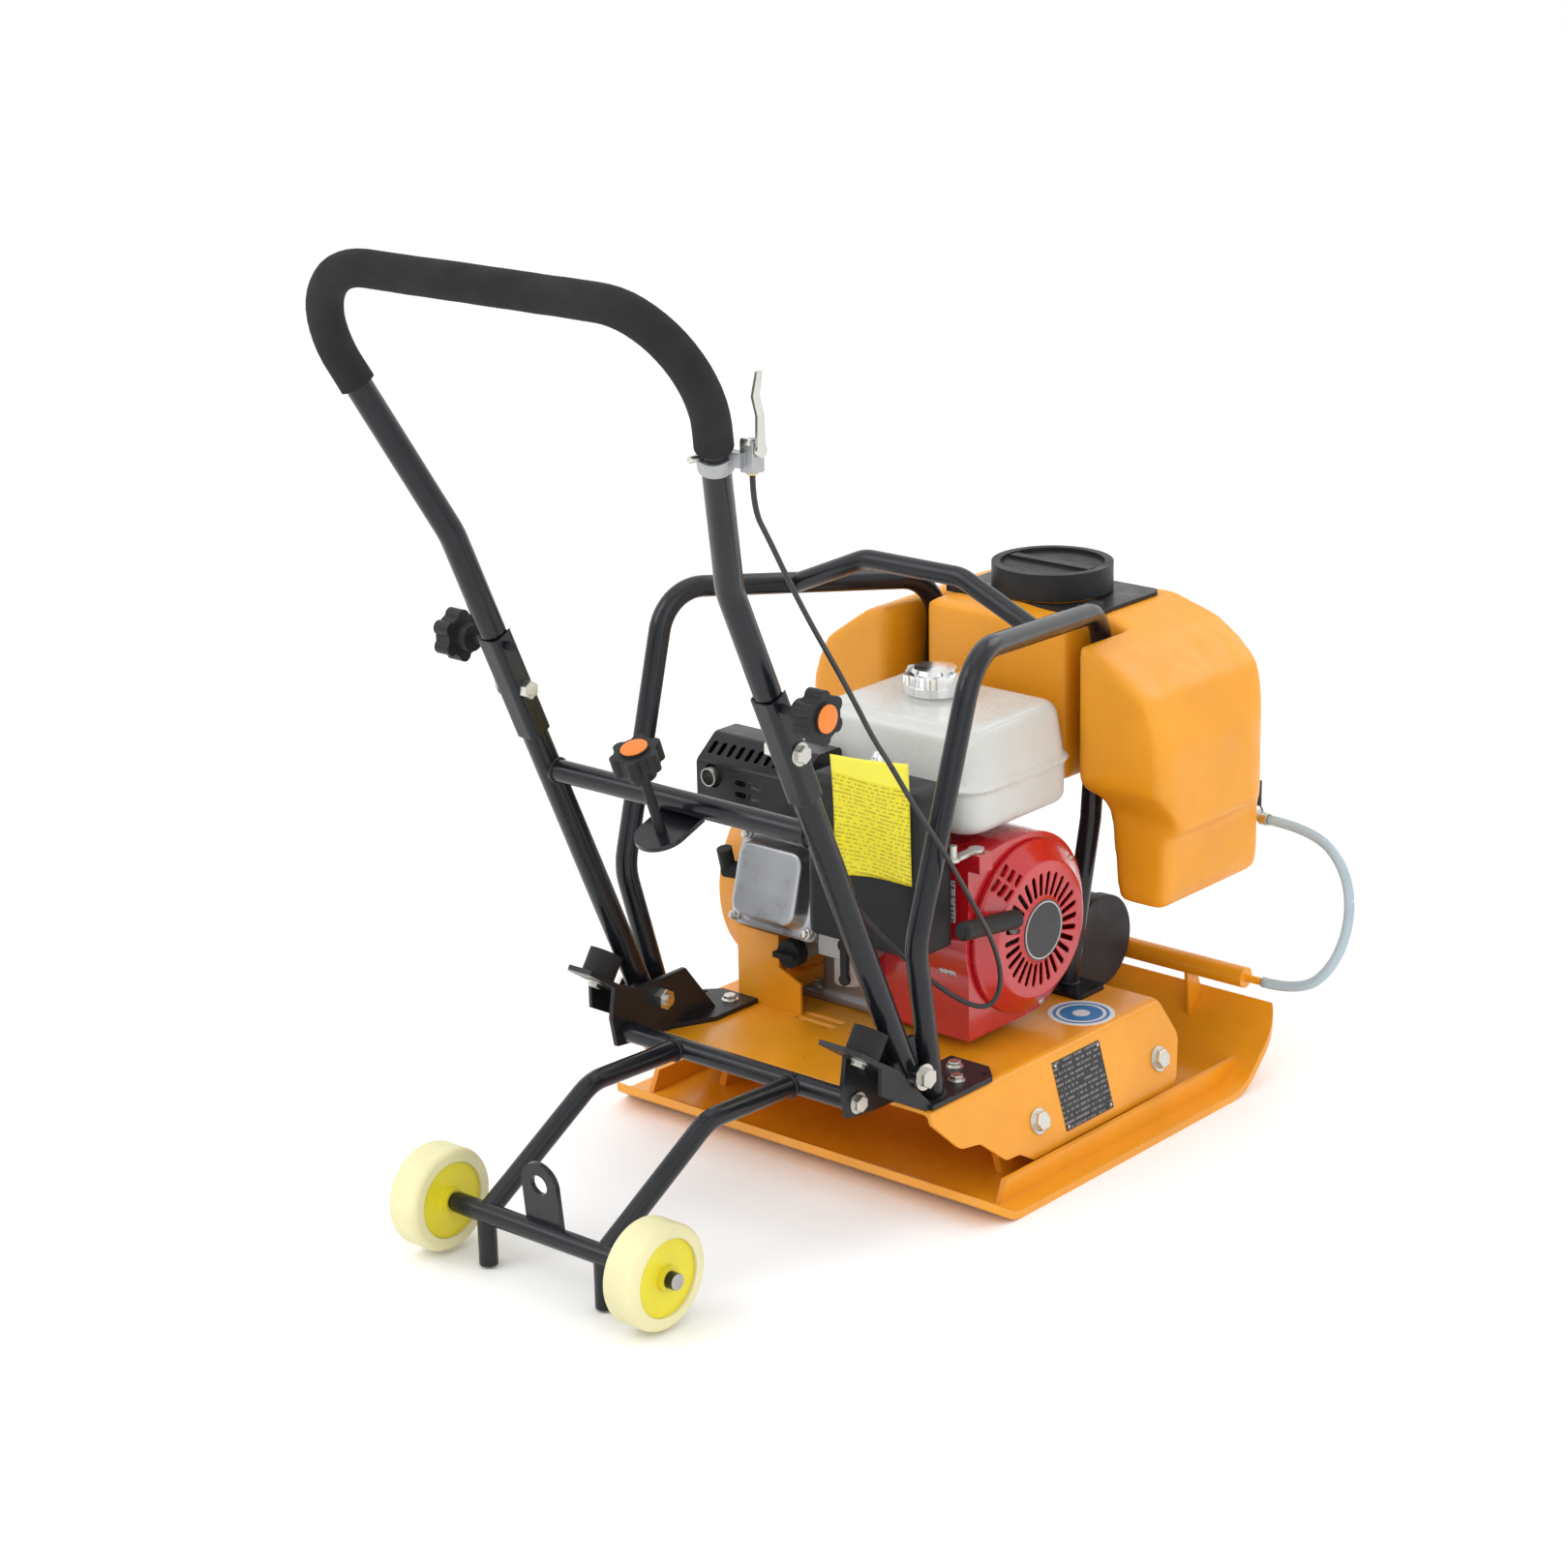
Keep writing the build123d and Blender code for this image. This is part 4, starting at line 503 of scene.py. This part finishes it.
class COMPACTOR_OT_shells(bpy.types.Operator):
    """Rounds the moulded and cast pieces"""

    bl_idname = "compactor.shells"
    bl_label = "Round the castings"

    def execute(self, context):
        """Remeshes a copy of each piece evenly and smooths its edges."""
        for node, slot, grain, passes in SHELLS:
            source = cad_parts[node]
            piece = bpy.data.objects.new(f"{node}_shell", source.data.copy())
            merge_doubles(piece.data)
            context.scene.collection.objects.link(piece)
            piece.matrix_world = source.matrix_world
            even = piece.modifiers.new("even", "REMESH")
            even.mode = "VOXEL"
            even.voxel_size = grain
            soft = piece.modifiers.new("soft", "CORRECTIVE_SMOOTH")
            soft.iterations = passes
            soft.use_only_smooth = True
            graph = context.evaluated_depsgraph_get()
            data = bpy.data.meshes.new_from_object(piece.evaluated_get(graph))
            piece.modifiers.clear()
            piece.data = data
            for face in data.polygons:
                face.use_smooth = True
            data.materials.clear()
            data.materials.append(source.data.materials[0])
            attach(piece, "machine")
            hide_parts(node)
        return {"FINISHED"}


class COMPACTOR_OT_stage(bpy.types.Operator):
    """Sets up the camera, the floor and soft light"""

    bl_idname = "compactor.stage"
    bl_label = "Set the stage"

    def execute(self, context):
        """Places the camera by its angles and fills the room."""
        stage = context.scene.compactor_stage
        target = Vector((0.0, -0.05, 0.35))
        flat = math.cos(stage.elevation)
        away = Vector((
            math.sin(stage.azimuth) * flat, -math.cos(stage.azimuth) * flat, math.sin(stage.elevation)
        ))
        data = bpy.data.cameras.new("camera")
        data.lens = stage.lens
        data.sensor_width = 36.0
        data.shift_x = -0.0753
        camera = bpy.data.objects.new("camera", data)
        context.scene.collection.objects.link(camera)
        camera.location = target + away * stage.distance
        turn = (-away).to_track_quat("-Z", "Y").to_matrix() @ Matrix.Rotation(math.radians(-0.6), 3, "Z")
        camera.rotation_euler = turn.to_euler()
        context.scene.camera = camera

        mesh_data = bmesh.new()
        bmesh.ops.create_grid(mesh_data, x_segments=1, y_segments=1, size=stage.floor)
        data = bpy.data.meshes.new("floor")
        mesh_data.to_mesh(data)
        mesh_data.free()
        floor = bpy.data.objects.new("floor", data)
        context.scene.collection.objects.link(floor)
        tree, surface, where = shader("floor")
        tone = blended(tree, noise(tree, where, 0.8), (0.94, 0.94, 0.94), (0.96, 0.96, 0.96))
        tree.links.new(tone, surface.inputs["Base Color"])
        surface.inputs["Roughness"].default_value = 0.7
        data.materials.append(LOOKS["floor"])

        for name, spot, size, power in (
            ("key", (-1.6, -2.6, 3.0), 2.4, 42.0),
            ("fill", (3.2, -1.6, 1.9), 2.8, 20.0),
            ("back", (0.6, 3.2, 2.8), 2.2, 24.0),
            ("top", (0.0, 0.0, 4.0), 3.0, 18.0),
        ):
            light = bpy.data.lights.new(name, "AREA")
            light.energy = power
            light.size = size
            lamp = bpy.data.objects.new(name, light)
            context.scene.collection.objects.link(lamp)
            lamp.location = spot
            lamp.rotation_euler = (target - Vector(spot)).to_track_quat("-Z", "Y").to_euler()
        world = bpy.data.worlds.new("room")
        world.use_nodes = True
        world.node_tree.nodes["Background"].inputs["Color"].default_value = (1.0, 1.0, 1.0, 1.0)
        world.node_tree.nodes["Background"].inputs["Strength"].default_value = 1.05
        context.scene.world = world
        context.scene.view_settings.view_transform = "Standard"
        return {"FINISHED"}


# control points of the cable from the lever to the air cleaner and of the hose from the tap to the pipe,
# in millimetres
CABLE_ROUTE = [(236, -528, 785), (236, -528, 756), (230, -503, 725), (225, -469, 675), (222, -440, 634),
               (220, -409, 592), (218, -380, 551), (216, -354, 512), (216, -329, 480), (215, -306, 448),
               (213, -277, 412), (212, -248, 375), (205, -197, 309), (199, -160, 261), (194, -139, 216),
               (186, -143, 187), (174, -163, 190), (152, -197, 221), (120, -221, 260), (88, -229, 293),
               (45, -220, 322), (10, -204, 334), (-16, -194, 338), (-27, -170, 338), (-27, -137, 338)]
HOSE_ROUTE = [(206, 298, 262), (262, 298, 262), (312, 280, 236), (330, 264, 190), (320, 250, 140),
              (288, 240, 108), (241, 240, 108)]

# beside the handle's right leg, where the cable's two lengths meet
CABLE_PARTING = Vector((0.216, -0.329, 0.480))
CABLE_RADIUS = 0.0025
HOSE_RADIUS = 0.0055


def in_metres(route):
    """A route's points in metres."""
    return [Vector(point) / 1000 for point in route]


class COMPACTOR_OT_cords(bpy.types.Operator):
    """Makes the throttle cable and the water hose"""

    bl_idname = "compactor.cords"
    bl_label = "Lay the cords"

    def execute(self, context):
        """Skins each route."""
        line = read_line(round_path(in_metres(CABLE_ROUTE)))
        parting = min(range(len(line)), key=lambda i: (line[i] - CABLE_PARTING).length)
        for name, part, bodies, start, end in (
            ("throttle_cable_upper", line[: parting + 1], ("lower_handle", "upper_handle"),
             (0.218, -0.380, 0.551), (0.224, -0.460, 0.650)),
            ("throttle_cable_lower", line[parting:], ("machine", "lower_handle"),
             (0.199, -0.160, 0.261), (0.215, -0.306, 0.448)),
        ):
            mesh_data = bmesh.new()
            skin_line(mesh_data, part, CABLE_RADIUS, 12)
            cable = keep(mesh_data, name, None, "cable")
            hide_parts("throttle_cable")
            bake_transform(cable)
        line = read_line(round_path(in_metres(HOSE_ROUTE)))
        mesh_data = bmesh.new()
        skin_line(mesh_data, line, HOSE_RADIUS, 20)
        hose = keep(mesh_data, "water_hose_tube", "machine", "hose")
        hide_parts("water_hose")
        return {"FINISHED"}


def on_handle(u, v, w=0.0):
    """A point of the handle's plane from millimetres across, up and behind."""
    return Vector((u, -255 - v * math.sin(HANDLE_LEAN) - w * math.cos(HANDLE_LEAN),
                   152 + v * math.cos(HANDLE_LEAN) - w * math.sin(HANDLE_LEAN))) / 1000


class COMPACTOR_OT_foam(bpy.types.Operator):
    """Makes the foam sleeve on the top of the handle"""

    bl_idname = "compactor.foam"
    bl_label = "Fit the foam"

    def execute(self, context):
        """Bends the sleeve round both corners and lets it swell unevenly."""
        corners = [(FOAM_END, FOAM_LOW), (TOP_U, TOP_V), (-TOP_U, TOP_V), (-FOAM_END, FOAM_LOW)]
        line = [on_handle(*corners[0])]
        for before, here, after in zip(corners, corners[1:], corners[2:]):
            a, b, c = Vector(before), Vector(here), Vector(after)
            back, ahead = (a - b).normalized(), (c - b).normalized()
            half = back.angle(ahead) / 2
            middle = b + (back + ahead).normalized() * (GRIP_BEND / math.sin(half))
            start = b + back * (GRIP_BEND / math.tan(half))
            spin = (start - middle).angle_signed((b + ahead * (GRIP_BEND / math.tan(half))) - middle)
            for share in range(17):
                arm = (start - middle).copy()
                arm.rotate(Matrix.Rotation(-spin * share / 16, 2))
                line.append(on_handle(*(middle + arm)))
        line.append(on_handle(*corners[-1]))
        full = []
        for a, b in zip(line, line[1:]):
            steps = max(1, round((b - a).length / 0.008))
            full += [a.lerp(b, i / steps) for i in range(steps)]
        full.append(line[-1])
        mesh_data = bmesh.new()
        skin_line(mesh_data, full, FOAM_RADIUS, 32)
        piece = keep(mesh_data, "foam_sleeve", None, "foam")
        texture = bpy.data.textures.new("swell", "CLOUDS")
        texture.noise_scale = 0.05
        swell = piece.modifiers.new("swell", "DISPLACE")
        swell.texture = texture
        swell.strength = 0.0014
        swell.mid_level = 0.75
        graph = context.evaluated_depsgraph_get()
        piece.data = bpy.data.meshes.new_from_object(piece.evaluated_get(graph))
        piece.modifiers.clear()
        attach(piece, "upper_handle")
        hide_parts("foam_grip")
        return {"FINISHED"}


class COMPACTOR_OT_knobs(bpy.types.Operator):
    """Makes the coloured caps of the star knobs"""

    bl_idname = "compactor.knobs"
    bl_label = "Cap the knobs"

    def execute(self, context):
        """Seats a domed cap on each knob's outer face."""
        stud = Vector((0.0, math.cos(LOCK_ANGLE), math.sin(LOCK_ANGLE)))
        hole = Vector((0.0, *FRAME_PIVOT)) + stud * LOCK_RADIUS
        spots = {
            "fold_knob_right": (on_handle(LEG_U, STUD_V), Vector((1, 0, 0)), 0.063),
            "fold_knob_left": (on_handle(-LEG_U, STUD_V), Vector((-1, 0, 0)), 0.063),
            "lock_knob": (hole, stud, 0.096),
        }
        for body, (base, axis, height) in spots.items():
            mesh_data = bmesh.new()
            disc(mesh_data, base + axis * (height + 0.0006), axis, 0.0128, 0.0012, bevel=0.0004)
            keep(mesh_data, f"{body}_cap", body, "orange")
        return {"FINISHED"}


class COMPACTOR_OT_prints(bpy.types.Operator):
    """Makes the hang tag, rating plate, round mark, badge and strip"""

    bl_idname = "compactor.prints"
    bl_label = "Add printed pieces"

    def execute(self, context):
        """Adds each printed piece with strokes in place of lettering."""
        lean = math.radians(16.03)
        outward = Vector((math.cos(lean), 0.0, math.sin(lean)))
        middle = Vector((0.19 + 0.0437 * math.tan(lean), -0.021, 0.0693)) + outward * 0.0004
        mesh_data = bmesh.new()
        slab(mesh_data, middle, (0.0008, 0.078, 0.07), Matrix.Rotation(-lean, 4, "Y"), 0.0003)
        keep(mesh_data, "rating_plate", "machine", "plate_print", False)
        mesh_data = bmesh.new()
        down = Vector((math.sin(lean), 0.0, -math.cos(lean)))
        for y in (-0.035, 0.035):
            for z in (-0.031, 0.031):
                spot = middle + Vector((0, y, 0)) + down * z + outward * 0.0006
                disc(mesh_data, spot, outward, 0.0016, 0.0012, bevel=0.0004, segments=20)
        keep(mesh_data, "rating_plate_rivets", "machine", "zinc")
        mesh_data = bmesh.new()
        disc(mesh_data, (*ROUND_MARK, 0.1132), (0, 0, 1), 0.034, 0.0004, segments=96)
        keep(mesh_data, "round_mark", "machine", "round_print", False)
        mesh_data = bmesh.new()
        disc(mesh_data, (0.1524, *CRANK), (1, 0, 0), 0.031, 0.0008, segments=96, bevel=0.0003)
        keep(mesh_data, "recoil_badge", "machine", "badge", False)
        mesh_data = bmesh.new()
        slab(mesh_data, (0.104, -0.1103, 0.24), (0.02, 0.0006, 0.098), bevel=0.0002)
        keep(mesh_data, "cowl_strip", "machine", "strip_print", False)

        mesh_data = bmesh.new()
        bmesh.ops.create_grid(mesh_data, x_segments=24, y_segments=30, size=0.5)
        for vert in mesh_data.verts:
            u, v = vert.co.x, vert.co.y
            curl = 0.010 * (0.5 - v) ** 2 * abs(u + 0.1) + 0.002 * math.sin(5 * u + 3 * v)
            vert.co = Vector((u * 0.097, -curl - 0.0008, v * 0.118))
        bmesh.ops.rotate(mesh_data, verts=mesh_data.verts, matrix=Matrix.Rotation(math.radians(-5), 3, "Y"))
        bmesh.ops.translate(mesh_data, verts=mesh_data.verts, vec=(0.07, -0.1802, 0.362))
        bmesh.ops.solidify(mesh_data, geom=mesh_data.faces[:], thickness=0.0005)
        tag = keep(mesh_data, "hang_tag_card", "machine", "tag")
        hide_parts("hang_tag")
        mesh_data = bmesh.new()
        string = in_metres([(68, -181.2, 412), (64, -176, 420), (58, -160, 416), (52, -150, 410.5)])
        skin_line(mesh_data, read_line(round_path(string)), 0.0006, 8)
        keep(mesh_data, "hang_tag_tie", "machine", "zinc")
        return {"FINISHED"}


# a weld: beads round each tube joint and their radius in metres
BEADS = 36
BEAD_RADIUS = 0.0019


class COMPACTOR_OT_details(bpy.types.Operator):
    """Makes welds, screws, the cleaner's nut, axle ends and the throttle's small parts"""

    bl_idname = "compactor.details"
    bl_label = "Add small details"

    def execute(self, context):
        """Adds small fittings where the real machine has them."""
        self.welds()
        mesh_data = bmesh.new()
        disc(mesh_data, (0.05, -0.147, 0.4035), (0, 0, 1), 0.009, 0.011, segments=6, bevel=0.0008)
        disc(mesh_data, (0.05, -0.147, 0.4135), (0, 0, 1), 0.0078, 0.009, top=0.003, segments=40, bevel=0.001)
        keep(mesh_data, "cleaner_nut", "machine", "chrome")
        mesh_data = bmesh.new()
        for turn in (40, 160, 280):
            arm = Vector((0, math.cos(math.radians(turn)), math.sin(math.radians(turn)))) * 0.083
            disc(mesh_data, Vector((0.1372, *CRANK)) + arm, (1, 0, 0), 0.0045, 0.004, segments=6,
                 bevel=0.0005)
        disc(mesh_data, (0.035, -0.1805, 0.247), (0, 1, 0), 0.0075, 0.003, segments=32, bevel=0.0006)
        disc(mesh_data, (0.035, -0.183, 0.247), (0, 1, 0), 0.0055, 0.005, segments=6, bevel=0.0006)
        keep(mesh_data, "cowl_screws", "machine", "zinc")
        mesh_data = bmesh.new()
        tilt = math.radians(15)
        out = Vector((0.0, -math.cos(tilt), math.sin(tilt)))
        rise = Vector((0.0, math.sin(tilt), math.cos(tilt)))
        base = Vector((-0.082, *CRANK)) + out * 0.1345
        for side in (-1, 1):
            for level in (-1, 1):
                spot = base + Vector((side * 0.0465, 0, 0)) + rise * (level * 0.0415)
                disc(mesh_data, spot, out, 0.0058, 0.002, segments=32, bevel=0.0005)
                disc(mesh_data, spot + out * 0.003, out, 0.0046, 0.005, segments=6, bevel=0.0006)
        keep(mesh_data, "cover_bolts", "machine", "zinc")
        for side, name in ((1, "right"), (-1, "left")):
            mesh_data = bmesh.new()
            disc(mesh_data, (side * 0.1645, *AXLE), (side, 0, 0), 0.0078, 0.002, segments=40,
                 bevel=0.0007)
            keep(mesh_data, f"axle_end_{name}", f"wheel_{name}", "steel")
        mesh_data = bmesh.new()
        disc(mesh_data, (0.236, -0.528, 0.7876), (0, 0, 1), 0.0048, 0.006, segments=32, bevel=0.0008)
        keep(mesh_data, "throttle_ferrule", "upper_handle", "brass")
        mesh_data = bmesh.new()
        clamp = on_handle(215, 706)
        disc(mesh_data, clamp + Vector((-0.013, -0.017, 0.002)), (0.2, 1, 0), 0.0032, 0.014, segments=6,
             bevel=0.0005)
        slab(mesh_data, (0.2362, -0.5355, 0.8135), (0.010, 0.004, 0.006), bevel=0.001)
        disc(mesh_data, (0.2448, -0.528, 0.806), (1, 0, 0), 0.0046, 0.0022, segments=32, bevel=0.0006)
        keep(mesh_data, "throttle_screws", "upper_handle", "zinc")
        return {"FINISHED"}

    def welds(self):
        """Lays a rippled bead round each tube joint."""
        bar = on_handle(0, 289)
        joints = [
            ("guard_weld", "machine", [((s * 0.1722, -0.2195, 0.1185), (s * 0.07, -0.23, 0.97), 0.0112)
                                       for s in (-1, 1)]
             + [((s * 0.0955, 0.0985, 0.1185), (s * 0.06, 0.13, 0.99), 0.0112) for s in (-1, 1)]),
            ("handle_weld", "lower_handle",
             [((s * 0.1562, bar.y, bar.z), (1, 0, 0), 0.0112) for s in (-1, 1)]),
            ("frame_weld", "wheel_frame",
             [((s * 0.074, -0.314, 0.1325), (0, -1, 0.04), 0.0102) for s in (-1, 1)]),
        ]
        for name, body, spots in joints:
            mesh_data = bmesh.new()
            for centre, axis, radius in spots:
                turn = Matrix.Translation(Vector(centre)) @ towards(axis)
                for i in range(BEADS):
                    angle = 2 * math.pi * i / BEADS
                    local = Vector((math.cos(angle) * radius, math.sin(angle) * radius, 0.0))
                    bmesh.ops.create_uvsphere(
                        mesh_data, u_segments=8, v_segments=6, radius=BEAD_RADIUS,
                        matrix=Matrix.Translation(turn @ local),
                    )
            keep(mesh_data, name, body, "weld")


class COMPACTOR_PT_panel(bpy.types.Panel):
    """Buttons of the compactor's looks"""

    bl_idname = "COMPACTOR_PT_panel"
    bl_label = "Compactor"
    bl_space_type = "VIEW_3D"
    bl_region_type = "UI"
    bl_category = "Compactor"

    def draw(self, context):
        """Lists the settings and one button per group."""
        for settings in (context.scene.compactor_paint, context.scene.compactor_stage):
            for key in settings.__annotations__:
                self.layout.prop(settings, key)
        for kind in OPERATORS:
            self.layout.operator(kind.bl_idname)


OPERATORS = (
    COMPACTOR_OT_looks, COMPACTOR_OT_shells, COMPACTOR_OT_stage, COMPACTOR_OT_cords, COMPACTOR_OT_foam,
    COMPACTOR_OT_knobs, COMPACTOR_OT_prints, COMPACTOR_OT_details,
)
CLASSES = (CompactorPaint, CompactorStage, *OPERATORS, COMPACTOR_PT_panel)


def register():
    """Registers the add-on."""
    for kind in CLASSES:
        bpy.utils.register_class(kind)
    bpy.types.Scene.compactor_paint = bpy.props.PointerProperty(type=CompactorPaint)
    bpy.types.Scene.compactor_stage = bpy.props.PointerProperty(type=CompactorStage)


def unregister():
    """Takes the add-on out again."""
    del bpy.types.Scene.compactor_stage
    del bpy.types.Scene.compactor_paint
    for kind in reversed(CLASSES):
        bpy.utils.unregister_class(kind)


def main():
    """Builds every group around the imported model."""
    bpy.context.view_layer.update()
    register()
    bpy.ops.compactor.looks()
    bpy.ops.compactor.shells()
    bpy.ops.compactor.stage()
    bpy.ops.compactor.cords()
    bpy.ops.compactor.foam()
    bpy.ops.compactor.knobs()
    bpy.ops.compactor.prints()
    bpy.ops.compactor.details()


if __name__ == "__main__":
    main()
